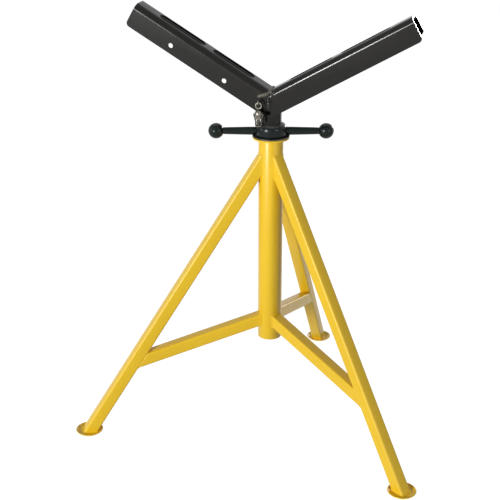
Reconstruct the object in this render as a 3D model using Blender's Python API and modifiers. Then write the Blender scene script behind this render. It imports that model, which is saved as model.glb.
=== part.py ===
# Pipe jack stand: tripod base, screw jack with a handled nut, and a V-head for pipe.
# Units are metres and +Z is up. The origin is on the column's axis at floor level.
# The V-head's arms lie along X, and the viewer's side is -Y.

import math

import bmesh
import bpy
from mathutils import Matrix, Vector

# Fits
CLEARANCE = 0.0003
CUT_OVERRUN = 0.006
WELD_DISTANCE = 0.00002

# Column, collar and washer
COLUMN_RADIUS = 0.03015
COLUMN_WALL = 0.0039
COLUMN_FOOT_HEIGHT = 0.2365
COLLAR_RADIUS = 0.0453
COLLAR_HEIGHT = 0.0045
COLLAR_TOP_HEIGHT = 0.7735
COLLAR_ROUNDING = 0.0012
WASHER_RADIUS = 0.0453
WASHER_THICKNESS = 0.0032
WASHER_ROUNDING = 0.0005

# Legs and braces of square tube
TUBE_WIDTH = 0.03175
TUBE_WALL = 0.0032
TUBE_CORNER_RADIUS = 0.005
LEG_FOOT_REACH = 0.4787
LEG_APEX_DROP = 0.0275
BRACE_RISE = 0.0491
BRACE_DROP = 0.0943
FIRST_LEG_TURN = 86.13
LEG_COUNT = 3

# Foot pads
PAD_RIM_RADIUS = 0.0349
PAD_BASE_RADIUS = 0.0319
PAD_THICKNESS = 0.003
PAD_RIM_HEIGHT = 0.0065
PAD_RIM_WALL = 0.0025

# Jack nut
NUT_RADIUS = 0.038
NUT_HEIGHT = 0.0387
NUT_SHOULDER_RADIUS = 0.012
NUT_FOOT_ROUNDING = 0.0015
PILOT_LENGTH = 0.010

# Handle arms and balls
HANDLE_TURN = 15.4
ARM_ROOT_RADIUS = 0.0099
ARM_TIP_RADIUS = 0.0084
TENON_RADIUS = 0.0062
TENON_LENGTH = 0.012
BALL_RADIUS = 0.01905
BALL_REACH = 0.133
BALL_SOCKET_DEPTH = 0.012

# Jack screw and its stop
SCREW_RADIUS = 0.01905
THREAD_DEPTH = 0.003
THREAD_LEAD = 0.008
SCREW_FOOT_RISE = 0.0885
JOURNAL_RADIUS = 0.0145
STOP_OFFSET = 0.002
STOP_HEIGHT = 0.018
STOP_PIN_RADIUS = 0.003

# Socket tube of the V-head
SOCKET_RADIUS = 0.0254
SOCKET_WALL = 0.0062
SOCKET_LENGTH = 0.0487
CAP_THICKNESS = 0.005
PIN_HOLE_RADIUS = 0.00475
PIN_HOLE_RISE_SHARE = 0.4456

# V arms, formed from plate as channels that open downwards, flush with the socket's front
V_RISE = 30.2
V_FOOT_RISE = 0.0061
V_FRONT_REACH = 0.025
V_BACK_REACH = 0.035
V_WALL = 0.004
V_BEND_RADIUS = 0.015
FRONT_FLANGE_HEIGHT = 0.0580
BACK_FLANGE_RISE = 0.008
V_ARM_LENGTH = 0.4125
FLANGE_CORNER_RADIUS = 0.010
SLOT_WIDTH = 0.028
FLANGE_HOLE_RADIUS = 0.006
INNER_SLOT_SHARES = (0.2032, 0.4885)
OUTER_SLOT_SHARES = (0.5442, 0.8582)
FLANGE_HOLE_SHARES = (0.3367, 0.7079)
FLANGE_HOLE_RISE_SHARE = 0.316

# Lock pin that hangs beside the socket
LANYARD_SIDE = 0.021
PIN_GAP = 0.002
STAPLE_RISE = 0.039
WIRE_RADIUS = 0.0015
LINK_RADIUS = 0.007
STAPLE_PLAY = 0.0016
LUG_RADIUS = 0.0045
LUG_THICKNESS = 0.003
LUG_HOLE_RADIUS = 0.0023
KNOB_RADIUS = 0.0096
LUG_SINK = 0.0018
SHANK_RADIUS = 0.00425
SHANK_LENGTH = 0.0286
SHANK_CHAMFER = 0.001
BAIL_WIRE_RADIUS = 0.0011
BAIL_PIVOT_DEPTH = 0.004
BAIL_CORNER_RADIUS = 0.0045

# Facets of round shapes
COLUMN_SEGMENTS = 48
NUT_SEGMENTS = 48
SMALL_SEGMENTS = 24
PIN_SEGMENTS = 16
THREAD_SEGMENTS = 12
CORNER_SEGMENTS = 4
SHARP_ANGLE = 35.0

# Sizes that follow from the ones above
column_bore = COLUMN_RADIUS - COLUMN_WALL
washer_foot = COLLAR_TOP_HEIGHT + CLEARANCE
nut_foot = washer_foot + WASHER_THICKNESS + CLEARANCE
pilot_radius = column_bore - CLEARANCE
pilot_foot = nut_foot - PILOT_LENGTH
nut_bore = SCREW_RADIUS + CLEARANCE
screw_root = SCREW_RADIUS - THREAD_DEPTH
leg_apex_height = COLLAR_TOP_HEIGHT - LEG_APEX_DROP
half_tube = TUBE_WIDTH / 2
brace_column_height = COLUMN_FOOT_HEIGHT + BRACE_RISE
brace_leg_height = brace_column_height - BRACE_DROP
nut_top = nut_foot + NUT_HEIGHT
handle_height = nut_foot + ARM_ROOT_RADIUS
screw_foot = COLUMN_FOOT_HEIGHT + SCREW_FOOT_RISE
stop_foot = screw_foot + STOP_OFFSET
stop_top = stop_foot + STOP_HEIGHT
socket_foot = nut_top + CLEARANCE
socket_top = socket_foot + SOCKET_LENGTH
pin_hole_height = socket_foot + PIN_HOLE_RISE_SHARE * SOCKET_LENGTH
socket_bore = SOCKET_RADIUS - SOCKET_WALL
spigot_radius = socket_bore - CLEARANCE
cap_foot = socket_top + CLEARANCE
cap_top = cap_foot + CAP_THICKNESS
v_width = V_FRONT_REACH + V_BACK_REACH
v_middle = (V_BACK_REACH - V_FRONT_REACH) / 2
rise = math.radians(V_RISE)
pin_plane = -(NUT_RADIUS + PIN_GAP)
v_foot_height = socket_foot + V_FOOT_RISE
staple_height = v_foot_height + STAPLE_RISE
link_height = staple_height - (LINK_RADIUS - WIRE_RADIUS - WIRE_RADIUS - CLEARANCE)
link_top_reach = link_height + LINK_RADIUS + WIRE_RADIUS - staple_height
staple_spacing = link_top_reach + WIRE_RADIUS + STAPLE_PLAY
lug_height = link_height - LINK_RADIUS + WIRE_RADIUS + CLEARANCE - LUG_HOLE_RADIUS
knob_height = lug_height - LUG_RADIUS + LUG_SINK - KNOB_RADIUS
bail_half_width = KNOB_RADIUS + CLEARANCE + BAIL_WIRE_RADIUS
bail_drop = math.hypot(SHANK_LENGTH, SHANK_RADIUS) + CLEARANCE + BAIL_WIRE_RADIUS


# Scene and collections
def clear_scene():
    for item in list(bpy.data.objects):
        bpy.data.objects.remove(item, do_unlink=True)
    for group in list(bpy.data.collections):
        bpy.data.collections.remove(group)


def make_collection(name):
    group = bpy.data.collections.new(name)
    bpy.context.scene.collection.children.link(group)
    return group


clear_scene()
stand_group = make_collection("pipe_jack_stand")
cutter_group = make_collection("cutters")


# Materials
def make_material(name, colour, roughness, metallic):
    material = bpy.data.materials.new(name)
    material.use_nodes = True
    shader = material.node_tree.nodes["Principled BSDF"]
    shader.inputs["Base Color"].default_value = (*colour, 1.0)
    shader.inputs["Roughness"].default_value = roughness
    shader.inputs["Metallic"].default_value = metallic
    material.diffuse_color = (*colour, 1.0)
    return material


YELLOW = (0.80, 0.52, 0.02)
BLACK = (0.030, 0.029, 0.026)
DARK_GREEN = (0.012, 0.024, 0.020)
ZINC = (0.62, 0.61, 0.58)
STEEL = (0.38, 0.37, 0.35)


# Object helpers
def add_object(name, data, group, location=(0, 0, 0), rotation=(0, 0, 0)):
    item = bpy.data.objects.new(name, data)
    item.location = location
    item.rotation_euler = rotation
    group.objects.link(item)
    return item


def finish_piece(item, colour, roughness, metallic, parent=None):
    item.data.materials.clear()
    item.data.materials.append(make_material(item.name, colour, roughness, metallic))
    if parent is not None:
        item.parent = parent
        item.matrix_parent_inverse = parent_world(parent).inverted()
    return item


def parent_world(item):
    own = Matrix.Translation(item.location) @ item.rotation_euler.to_matrix().to_4x4()
    if item.parent is None:
        return own
    return parent_world(item.parent) @ item.matrix_parent_inverse @ own


def make_axis(name, location, parent=None):
    axis = add_object(name, None, stand_group, location)
    axis.empty_display_size = COLUMN_RADIUS
    if parent is not None:
        axis.parent = parent
        axis.matrix_parent_inverse = parent_world(parent).inverted()
    return axis


def mark_cutter(item):
    item.display_type = "WIRE"
    item.hide_render = True
    return item


def smooth_round(mesh):
    mesh.shade_smooth()
    mesh.set_sharp_from_angle(angle=math.radians(SHARP_ANGLE))


# Primitive meshes
def cylinder_mesh(name, radius, length, segments, end_radius=None):
    bm = bmesh.new()
    far_radius = radius if end_radius is None else end_radius
    bmesh.ops.create_cone(
        bm, cap_ends=True, segments=segments, radius1=radius, radius2=far_radius, depth=length
    )
    mesh = bpy.data.meshes.new(name)
    bm.to_mesh(mesh)
    bm.free()
    smooth_round(mesh)
    return mesh


def box_mesh(name, size_x, size_y, size_z):
    bm = bmesh.new()
    bmesh.ops.create_cube(bm, size=1.0)
    bmesh.ops.scale(bm, vec=(size_x, size_y, size_z), verts=bm.verts)
    mesh = bpy.data.meshes.new(name)
    bm.to_mesh(mesh)
    bm.free()
    return mesh


def sphere_mesh(name, radius, segments, rings):
    bm = bmesh.new()
    bmesh.ops.create_uvsphere(bm, u_segments=segments, v_segments=rings, radius=radius)
    mesh = bpy.data.meshes.new(name)
    bm.to_mesh(mesh)
    bm.free()
    mesh.shade_smooth()
    return mesh


# Rotation that turns +Z to a given direction
def aim(direction):
    return Vector(direction).to_track_quat("Z", "Y").to_euler()


# Cutters
def cylinder_cutter(name, radius, start, end, segments, end_radius=None):
    run = Vector(end) - Vector(start)
    mesh = cylinder_mesh(name, radius, run.length, segments, end_radius)
    middle = (Vector(start) + Vector(end)) / 2
    return mark_cutter(add_object(name, mesh, cutter_group, middle, aim(run)))


def box_cutter(name, size, location, rotation=(0, 0, 0)):
    mesh = box_mesh(name, *size)
    return mark_cutter(add_object(name, mesh, cutter_group, location, rotation))


def boolean(item, operand, operation):
    step = item.modifiers.new(operand.name, "BOOLEAN")
    step.operation = operation
    step.solver = "EXACT"
    step.object = operand


def cut(item, operand):
    boolean(item, operand, "DIFFERENCE")


def join(item, operand):
    boolean(item, operand, "UNION")


# Turned shapes: a profile in the XZ plane swept round Z
def turned(name, profile, segments, group, location=(0, 0, 0), rotation=(0, 0, 0), ring=False):
    count = len(profile)
    edges = [(i, i + 1) for i in range(count - 1)]
    if ring:
        edges.append((count - 1, 0))
    mesh = bpy.data.meshes.new(name)
    mesh.from_pydata([(x, 0, z) for x, z in profile], edges, [])
    item = add_object(name, mesh, group, location, rotation)
    screw = item.modifiers.new("turn", "SCREW")
    screw.axis = "Z"
    screw.angle = math.tau
    screw.steps = segments
    screw.render_steps = segments
    screw.use_merge_vertices = True
    screw.merge_threshold = WELD_DISTANCE
    screw.use_smooth_shade = True
    return item


def arc(centre_x, centre_y, radius, start, end, steps):
    points = []
    for i in range(steps + 1):
        angle = math.radians(start + (end - start) * i / steps)
        points.append((centre_x + radius * math.cos(angle), centre_y + radius * math.sin(angle)))
    return points


# Flat outlines, extruded both ways and made a mesh
def outline_mesh_object(name, loops, half_thickness, group, matrix):
    curve = bpy.data.curves.new(name + "_outline", "CURVE")
    curve.dimensions = "2D"
    curve.fill_mode = "BOTH"
    curve.extrude = half_thickness
    curve.render_resolution_u = 0
    for loop in loops:
        spline = curve.splines.new("POLY")
        spline.points.add(len(loop) - 1)
        for point, (x, y) in zip(spline.points, loop):
            point.co = (x, y, 0, 1)
        spline.use_cyclic_u = True
    outline = add_object(name + "_outline", curve, group)
    outline.matrix_world = matrix
    return curve_to_mesh_object(name, outline, group, matrix)


def curve_to_mesh_object(name, curve_object, group, matrix):
    graph = bpy.context.evaluated_depsgraph_get()
    graph.update()
    mesh = bpy.data.meshes.new_from_object(curve_object.evaluated_get(graph), depsgraph=graph)
    mesh.name = name
    bm = bmesh.new()
    bm.from_mesh(mesh)
    bmesh.ops.remove_doubles(bm, verts=bm.verts, dist=WELD_DISTANCE)
    bmesh.ops.recalc_face_normals(bm, faces=bm.faces)
    bm.to_mesh(mesh)
    bm.free()
    bpy.data.objects.remove(curve_object, do_unlink=True)
    smooth_round(mesh)
    item = add_object(name, mesh, group)
    item.matrix_world = matrix
    return item


def rounded_square(width, radius):
    half = width / 2 - radius
    points = []
    for quarter, (side_x, side_y) in enumerate(((1, 1), (-1, 1), (-1, -1), (1, -1))):
        start = quarter * 90
        points += arc(side_x * half, side_y * half, radius, start, start + 90, CORNER_SEGMENTS)
    return points


# Round wire bent along straight runs with rounded corners
def bent_path(corners, radius, steps):
    points = [Vector(corners[0])]
    for before, corner, after in zip(corners, corners[1:], corners[2:]):
        corner = Vector(corner)
        inward = (Vector(before) - corner).normalized()
        outward = (Vector(after) - corner).normalized()
        half_angle = inward.angle(outward) / 2
        reach = radius / math.tan(half_angle)
        centre = corner + (inward + outward).normalized() * (radius / math.sin(half_angle))
        first = corner + inward * reach - centre
        last = corner + outward * reach - centre
        sweep = first.angle(last)
        for i in range(steps + 1):
            share = i / steps
            first_share = math.sin((1 - share) * sweep) / math.sin(sweep)
            last_share = math.sin(share * sweep) / math.sin(sweep)
            points.append(centre + first * first_share + last * last_share)
    points.append(Vector(corners[-1]))
    return points


def wire_object(name, points, radius, group, location, closed=False):
    curve = bpy.data.curves.new(name, "CURVE")
    curve.dimensions = "3D"
    curve.bevel_depth = radius
    curve.bevel_resolution = 2
    curve.use_fill_caps = not closed
    curve.render_resolution_u = 0
    spline = curve.splines.new("POLY")
    spline.points.add(len(points) - 1)
    for point, place in zip(spline.points, points):
        point.co = (*place, 1)
    spline.use_cyclic_u = closed
    return add_object(name, curve, group, location)


# Directions and places shared by the tripod's pieces
def leg_frames():
    for i in range(LEG_COUNT):
        turn = math.radians(FIRST_LEG_TURN) + math.tau * i / LEG_COUNT
        yield i + 1, Vector((math.cos(turn), math.sin(turn), 0))


def leg_axis_point(outward, height):
    return outward * (LEG_FOOT_REACH * (1 - height / leg_apex_height)) + Vector((0, 0, height))


# Matrix of a tube whose length runs from start to end with one wall pair upright
def tube_matrix(start, end, sideways):
    run = (end - start).normalized()
    across = sideways.normalized()
    upright = run.cross(across)
    turn = Matrix((across, upright, run)).transposed().to_4x4()
    return Matrix.Translation((start + end) / 2) @ turn


def square_tube(name, start, end, sideways):
    loops = [
        rounded_square(TUBE_WIDTH, TUBE_CORNER_RADIUS),
        rounded_square(TUBE_WIDTH - TUBE_WALL - TUBE_WALL, TUBE_CORNER_RADIUS - TUBE_WALL),
    ]
    matrix = tube_matrix(start, end, sideways)
    return outline_mesh_object(name, loops, (end - start).length / 2, stand_group, matrix)


# Column: round tube, open at its foot
def build_column():
    profile = [
        (COLUMN_RADIUS, COLLAR_TOP_HEIGHT),
        (COLUMN_RADIUS, COLUMN_FOOT_HEIGHT),
        (column_bore, COLUMN_FOOT_HEIGHT),
        (column_bore, COLLAR_TOP_HEIGHT),
    ]
    column = turned("column_tube", profile, COLUMN_SEGMENTS, stand_group, ring=True)
    return finish_piece(column, YELLOW, 0.38, 0.0)


# Collar: ring round the column's top, level with it, with rounded rims
def build_collar(column):
    inner = COLUMN_RADIUS + CLEARANCE
    foot = COLLAR_TOP_HEIGHT - COLLAR_HEIGHT
    edge = COLLAR_RADIUS - COLLAR_ROUNDING
    profile = [(inner, COLLAR_TOP_HEIGHT)]
    profile += arc(edge, COLLAR_TOP_HEIGHT - COLLAR_ROUNDING, COLLAR_ROUNDING, 90, 0, CORNER_SEGMENTS)
    profile += arc(edge, foot + COLLAR_ROUNDING, COLLAR_ROUNDING, 0, -90, CORNER_SEGMENTS)
    profile += [(inner, foot)]
    collar = turned("column_collar", profile, COLUMN_SEGMENTS, stand_group, ring=True)
    return finish_piece(collar, YELLOW, 0.40, 0.0, column)


# Thrust washer: flat ring on the column's and the collar's top, which carries the nut
def build_washer(axis):
    inner = pilot_radius + CLEARANCE
    edge = WASHER_RADIUS - WASHER_ROUNDING
    profile = [(inner, WASHER_THICKNESS)]
    profile += arc(edge, WASHER_THICKNESS - WASHER_ROUNDING, WASHER_ROUNDING, 90, 0, 2)
    profile += arc(edge, WASHER_ROUNDING, WASHER_ROUNDING, 0, -90, 2)
    profile += [(inner, 0)]
    washer = turned(
        "thrust_washer", profile, COLUMN_SEGMENTS, stand_group, (0, 0, washer_foot), ring=True
    )
    return finish_piece(washer, STEEL, 0.35, 1.0, axis)


# Legs: square tube, coped to the column and cut level on the pads
def build_legs(column):
    column_cut = cylinder_cutter(
        "leg_cope",
        COLUMN_RADIUS + CLEARANCE,
        (0, 0, COLUMN_FOOT_HEIGHT),
        (0, 0, COLLAR_TOP_HEIGHT),
        COLUMN_SEGMENTS,
    )
    floor_top = PAD_THICKNESS + CLEARANCE
    block_height = TUBE_WIDTH + CUT_OVERRUN
    block_width = (LEG_FOOT_REACH + TUBE_WIDTH) * 2
    floor_cut = box_cutter(
        "pad_level", (block_width, block_width, block_height), (0, 0, floor_top - block_height / 2)
    )
    legs = []
    for number, outward in leg_frames():
        low = leg_axis_point(outward, floor_top - half_tube)
        high = leg_axis_point(outward, leg_apex_height)
        sideways = Vector((-outward.y, outward.x, 0))
        leg = square_tube(f"leg_{number}", low, high, sideways)
        cut(leg, column_cut)
        cut(leg, floor_cut)
        legs.append(finish_piece(leg, YELLOW, 0.38, 0.0, column))
    return legs


# Braces: square tube from the column's foot down to each leg, coped at both ends
def build_braces(column):
    leg_reach = LEG_FOOT_REACH * (1 - brace_leg_height / leg_apex_height)
    drop = (brace_column_height - brace_leg_height) / (leg_reach - COLUMN_RADIUS)
    column_cut = cylinder_cutter(
        "brace_cope",
        COLUMN_RADIUS + CLEARANCE,
        (0, 0, brace_column_height - COLUMN_RADIUS - TUBE_WIDTH),
        (0, 0, brace_column_height + COLUMN_RADIUS + TUBE_WIDTH),
        COLUMN_SEGMENTS,
    )
    block = TUBE_WIDTH * 3
    for number, outward in leg_frames():
        inner = Vector((0, 0, brace_column_height + COLUMN_RADIUS * drop))
        outer = leg_axis_point(outward, brace_leg_height)
        tube_end = outer + (outer - inner).normalized() * half_tube
        sideways = Vector((-outward.y, outward.x, 0))
        brace = square_tube(f"brace_{number}", inner, tube_end, sideways)
        cut(brace, column_cut)
        up_leg = (leg_axis_point(outward, leg_apex_height) - outer).normalized()
        face_normal = up_leg.cross(sideways).normalized()
        if face_normal.dot(outward) > 0:
            face_normal.negate()
        face = outer + face_normal * (half_tube + CLEARANCE)
        turn_matrix = Matrix((up_leg.cross(face_normal), up_leg, face_normal)).transposed()
        leg_cut = box_cutter(
            f"brace_{number}_leg_face",
            (block, block, block),
            face - face_normal * (block / 2),
            turn_matrix.to_euler(),
        )
        cut(brace, leg_cut)
        finish_piece(brace, YELLOW, 0.38, 0.0, column)


# Foot pads: shallow round dishes
def build_pads(column):
    profile = [
        (0, PAD_THICKNESS),
        (PAD_BASE_RADIUS - PAD_RIM_WALL, PAD_THICKNESS),
        (PAD_RIM_RADIUS - PAD_RIM_WALL, PAD_RIM_HEIGHT),
        (PAD_RIM_RADIUS, PAD_RIM_HEIGHT),
        (PAD_BASE_RADIUS, 0),
        (0, 0),
    ]
    for number, outward in leg_frames():
        place = outward * LEG_FOOT_REACH
        pad = turned(f"foot_pad_{number}", profile, SMALL_SEGMENTS, stand_group, place)
        finish_piece(pad, YELLOW, 0.45, 0.0, column)


# Jack nut: cast hub with a pilot in the column's bore
def build_nut(axis):
    shoulder = NUT_RADIUS - NUT_SHOULDER_RADIUS
    shoulder_height = nut_top - NUT_SHOULDER_RADIUS
    edge = NUT_RADIUS - NUT_FOOT_ROUNDING
    edge_height = nut_foot + NUT_FOOT_ROUNDING
    profile = [(nut_bore, nut_top)]
    profile += arc(shoulder, shoulder_height, NUT_SHOULDER_RADIUS, 90, 0, 2 * CORNER_SEGMENTS)
    profile += arc(edge, edge_height, NUT_FOOT_ROUNDING, 0, -90, 2)
    profile += [(pilot_radius, nut_foot), (pilot_radius, pilot_foot), (nut_bore, pilot_foot)]
    profile = [(x, z - nut_foot) for x, z in profile]
    nut = turned("jack_nut", profile, NUT_SEGMENTS, stand_group, (0, 0, nut_foot), ring=True)
    for side, outward in handle_sides():
        socket = cylinder_cutter(
            f"handle_socket_{side}",
            TENON_RADIUS + CLEARANCE,
            outward * (NUT_RADIUS - TENON_LENGTH) + Vector((0, 0, handle_height)),
            outward * (NUT_RADIUS + CUT_OVERRUN) + Vector((0, 0, handle_height)),
            SMALL_SEGMENTS,
        )
        cut(nut, socket)
    return finish_piece(nut, DARK_GREEN, 0.35, 0.0, axis)


def handle_sides():
    turn = math.radians(HANDLE_TURN)
    outward = Vector((math.cos(turn), math.sin(turn), 0))
    return ((1, -outward), (2, outward))


# Handle arms: tapered rods with a tenon in the nut and a plain end in the ball
def build_handle(axis):
    ball_entry = BALL_REACH - math.sqrt(BALL_RADIUS**2 - ARM_TIP_RADIUS**2)
    arm_end = BALL_REACH - BALL_RADIUS + BALL_SOCKET_DEPTH - CLEARANCE
    taper_start = NUT_RADIUS - TENON_LENGTH / 2
    tenon_end = NUT_RADIUS - TENON_LENGTH + CLEARANCE
    profile = [
        (0, arm_end),
        (ARM_TIP_RADIUS, arm_end),
        (ARM_TIP_RADIUS, ball_entry - CLEARANCE),
        (ARM_ROOT_RADIUS, taper_start),
        (0, taper_start),
    ]
    nut_cut = cylinder_cutter(
        "handle_cope",
        NUT_RADIUS + CLEARANCE,
        (0, 0, nut_foot - CUT_OVERRUN),
        (0, 0, nut_top),
        NUT_SEGMENTS,
    )
    for side, outward in handle_sides():
        place = Vector((0, 0, handle_height))
        arm = turned(f"handle_arm_{side}", profile, SMALL_SEGMENTS, stand_group, place, aim(outward))
        cut(arm, nut_cut)
        tenon = cylinder_cutter(
            f"handle_tenon_{side}",
            TENON_RADIUS,
            place + outward * tenon_end,
            place + outward * (NUT_RADIUS + CUT_OVERRUN),
            SMALL_SEGMENTS,
        )
        join(arm, tenon)
        finish_piece(arm, DARK_GREEN, 0.35, 0.0, axis)
        centre = place + outward * BALL_REACH
        ball_mesh = sphere_mesh(f"handle_ball_{side}", BALL_RADIUS, SMALL_SEGMENTS, PIN_SEGMENTS)
        ball = add_object(f"handle_ball_{side}", ball_mesh, stand_group, centre)
        bore = cylinder_cutter(
            f"ball_bore_{side}",
            ARM_TIP_RADIUS + CLEARANCE,
            place + outward * (BALL_REACH - BALL_RADIUS - CUT_OVERRUN),
            place + outward * (BALL_REACH - BALL_RADIUS + BALL_SOCKET_DEPTH),
            SMALL_SEGMENTS,
        )
        cut(ball, bore)
        finish_piece(ball, DARK_GREEN, 0.32, 0.0, axis)


# Thread surface: a trapezoid ridge on a helix that fades into the root at both ends
def thread_mesh(name, foot, top):
    ridge_shares = ((0.0, 0.0), (0.30, 0.0), (0.42, 1.0), (0.88, 1.0))
    per_turn = len(ridge_shares)
    turns = math.ceil((top - foot) / THREAD_LEAD) + 2
    rows = turns * per_turn
    bm = bmesh.new()
    columns = []
    for j in range(THREAD_SEGMENTS):
        angle = math.tau * j / THREAD_SEGMENTS
        column = []
        for i in range(rows + per_turn):
            place_share, height_share = ridge_shares[i % per_turn]
            turn = i // per_turn - 2 + place_share + j / THREAD_SEGMENTS
            z = min(max(foot + turn * THREAD_LEAD, foot), top)
            fade = min((z - foot) / THREAD_LEAD, (top - z) / THREAD_LEAD, 1.0)
            radius = screw_root + THREAD_DEPTH * height_share * fade
            column.append(bm.verts.new((radius * math.cos(angle), radius * math.sin(angle), z)))
        columns.append(column)
    for j in range(THREAD_SEGMENTS):
        here = columns[j]
        wraps = j == THREAD_SEGMENTS - 1
        beside = columns[0] if wraps else columns[j + 1]
        shift = per_turn if wraps else 0
        for i in range(rows - 1):
            bm.faces.new((here[i], beside[i + shift], beside[i + shift + 1], here[i + 1]))
    bmesh.ops.remove_doubles(bm, verts=bm.verts, dist=WELD_DISTANCE)
    bmesh.ops.dissolve_degenerate(bm, edges=bm.edges, dist=WELD_DISTANCE)
    rims = [edge for edge in bm.edges if edge.is_boundary]
    bmesh.ops.holes_fill(bm, edges=rims, sides=THREAD_SEGMENTS)
    bmesh.ops.recalc_face_normals(bm, faces=bm.faces)
    mesh = bpy.data.meshes.new(name)
    bm.to_mesh(mesh)
    bm.free()
    return mesh


# Jack screw: threaded rod with a journal below and a plain spigot in the V-head's socket
def build_screw(axis):
    foot = stop_top + CLEARANCE
    height = socket_foot - foot
    mesh = thread_mesh("jack_screw", 0, height)
    screw = add_object("jack_screw", mesh, stand_group, (0, 0, foot))
    journal = cylinder_cutter(
        "screw_journal",
        JOURNAL_RADIUS,
        (0, 0, screw_foot),
        (0, 0, foot + THREAD_LEAD),
        SMALL_SEGMENTS,
    )
    join(screw, journal)
    spigot = cylinder_cutter(
        "screw_spigot",
        spigot_radius,
        (0, 0, socket_foot - THREAD_LEAD / 2),
        (0, 0, cap_foot - CLEARANCE),
        SMALL_SEGMENTS,
    )
    join(screw, spigot)
    cut(screw, pin_bore("spigot_pin_hole"))
    cut(screw, stop_pin_bore("journal_pin_hole", STOP_PIN_RADIUS + CLEARANCE, CUT_OVERRUN))
    return finish_piece(screw, STEEL, 0.38, 1.0, axis)


def pin_bore(name):
    reach = SOCKET_RADIUS + CUT_OVERRUN
    return cylinder_cutter(
        name, PIN_HOLE_RADIUS, (0, -reach, pin_hole_height), (0, reach, pin_hole_height), SMALL_SEGMENTS
    )


def stop_pin_bore(name, radius, overrun):
    reach = pilot_radius + overrun
    height = stop_foot + STOP_HEIGHT / 2
    return cylinder_cutter(name, radius, (-reach, 0, height), (reach, 0, height), PIN_SEGMENTS)


# Stop collar and the pin that holds it on the screw's journal
def build_stop(axis):
    inner = JOURNAL_RADIUS + CLEARANCE
    profile = [(pilot_radius, STOP_HEIGHT), (pilot_radius, 0), (inner, 0), (inner, STOP_HEIGHT)]
    collar = turned("stop_collar", profile, COLUMN_SEGMENTS, stand_group, (0, 0, stop_foot), ring=True)
    cut(collar, stop_pin_bore("stop_pin_hole", STOP_PIN_RADIUS + CLEARANCE, CUT_OVERRUN))
    finish_piece(collar, STEEL, 0.45, 1.0, axis)
    half_length = pilot_radius - STOP_PIN_RADIUS
    mesh = cylinder_mesh("stop_pin", STOP_PIN_RADIUS, half_length * 2, PIN_SEGMENTS)
    place = (0, 0, stop_foot + STOP_HEIGHT / 2)
    pin = add_object("stop_pin", mesh, stand_group, place, aim((1, 0, 0)))
    finish_piece(pin, STEEL, 0.40, 1.0, axis)


# Socket tube with a cross hole, and the plate that closes its top
def build_socket(axis):
    height = socket_top - socket_foot
    profile = [(SOCKET_RADIUS, height), (SOCKET_RADIUS, 0), (socket_bore, 0), (socket_bore, height)]
    place = (0, 0, socket_foot)
    socket = turned("head_socket", profile, COLUMN_SEGMENTS, stand_group, place, ring=True)
    cut(socket, pin_bore("socket_pin_hole"))
    finish_piece(socket, BLACK, 0.42, 0.0, axis)
    cap_profile = [(0, CAP_THICKNESS), (SOCKET_RADIUS, CAP_THICKNESS), (SOCKET_RADIUS, 0), (0, 0)]
    cap = turned("socket_cap", cap_profile, COLUMN_SEGMENTS, stand_group, (0, 0, cap_foot))
    finish_piece(cap, BLACK, 0.45, 0.0, axis)


# Channel section seen along the arm: across its width, and up from the front flange's edge
def channel_section():
    top = FRONT_FLANGE_HEIGHT
    inner_radius = V_BEND_RADIUS - V_WALL
    front_x = V_BEND_RADIUS - V_FRONT_REACH
    back_x = V_BACK_REACH - V_BEND_RADIUS
    bend_y = top - V_BEND_RADIUS
    steps = CORNER_SEGMENTS + 2
    points = [(-V_FRONT_REACH, 0)]
    points += arc(front_x, bend_y, V_BEND_RADIUS, 180, 90, steps)
    points += arc(back_x, bend_y, V_BEND_RADIUS, 90, 0, steps)
    points += [(V_BACK_REACH, BACK_FLANGE_RISE), (V_BACK_REACH - V_WALL, BACK_FLANGE_RISE)]
    points += arc(back_x, bend_y, inner_radius, 0, 90, steps)
    points += arc(front_x, bend_y, inner_radius, 90, 180, steps)
    points += [(V_WALL - V_FRONT_REACH, 0)]
    return points


# Frame of one arm: along it, across the stand, and square to both
def arm_frame(side):
    along = Vector((side * math.cos(rise), 0, math.sin(rise)))
    across = Vector((0, 1, 0))
    square = Vector((-side * math.sin(rise), 0, math.cos(rise)))
    return along, across, square


def arm_place(side, reach, height):
    along, across, square = arm_frame(side)
    return Vector((0, 0, v_foot_height)) + along * reach + square * height


def slot_outline(start, end):
    radius = SLOT_WIDTH / 2
    points = arc(end - radius, 0, radius, -90, 90, 2 * CORNER_SEGMENTS)
    points += arc(start + radius, 0, radius, 90, 270, 2 * CORNER_SEGMENTS)
    return points


# Outline that takes the lower corner off a flange's free end
def corner_outline(edge_height):
    radius = FLANGE_CORNER_RADIUS
    centre_x = V_ARM_LENGTH - radius
    centre_y = edge_height + radius
    points = arc(centre_x, centre_y, radius, -90, 0, CORNER_SEGMENTS)
    points.append((V_ARM_LENGTH + CUT_OVERRUN, centre_y))
    points.append((V_ARM_LENGTH + CUT_OVERRUN, edge_height - CUT_OVERRUN))
    points.append((centre_x, edge_height - CUT_OVERRUN))
    return points


def build_arm(name, side, axis):
    along, across, square = arm_frame(side)
    start = -FRONT_FLANGE_HEIGHT * math.tan(rise) - CUT_OVERRUN
    section = Matrix((across, square, along)).transposed().to_4x4()
    if side < 0:
        section = Matrix((across, square, -along)).transposed().to_4x4()
    middle = arm_place(side, (start + V_ARM_LENGTH) / 2, 0)
    half_length = (V_ARM_LENGTH - start) / 2
    matrix = Matrix.Translation(middle) @ section
    arm = outline_mesh_object(name, [channel_section()], half_length, stand_group, matrix)
    cut_mitre(arm, name, side)
    socket_cut = cylinder_cutter(
        name + "_cope",
        SOCKET_RADIUS + CLEARANCE,
        (0, 0, socket_foot - CUT_OVERRUN),
        (0, 0, cap_top + CLEARANCE),
        COLUMN_SEGMENTS,
    )
    cut(arm, socket_cut)
    cut_slots(arm, name, side)
    cut_flange_corners(arm, name, side)
    if side < 0:
        cut_flange_holes(arm, name, side)
    return finish_piece(arm, BLACK, 0.36, 0.0, axis)


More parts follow.
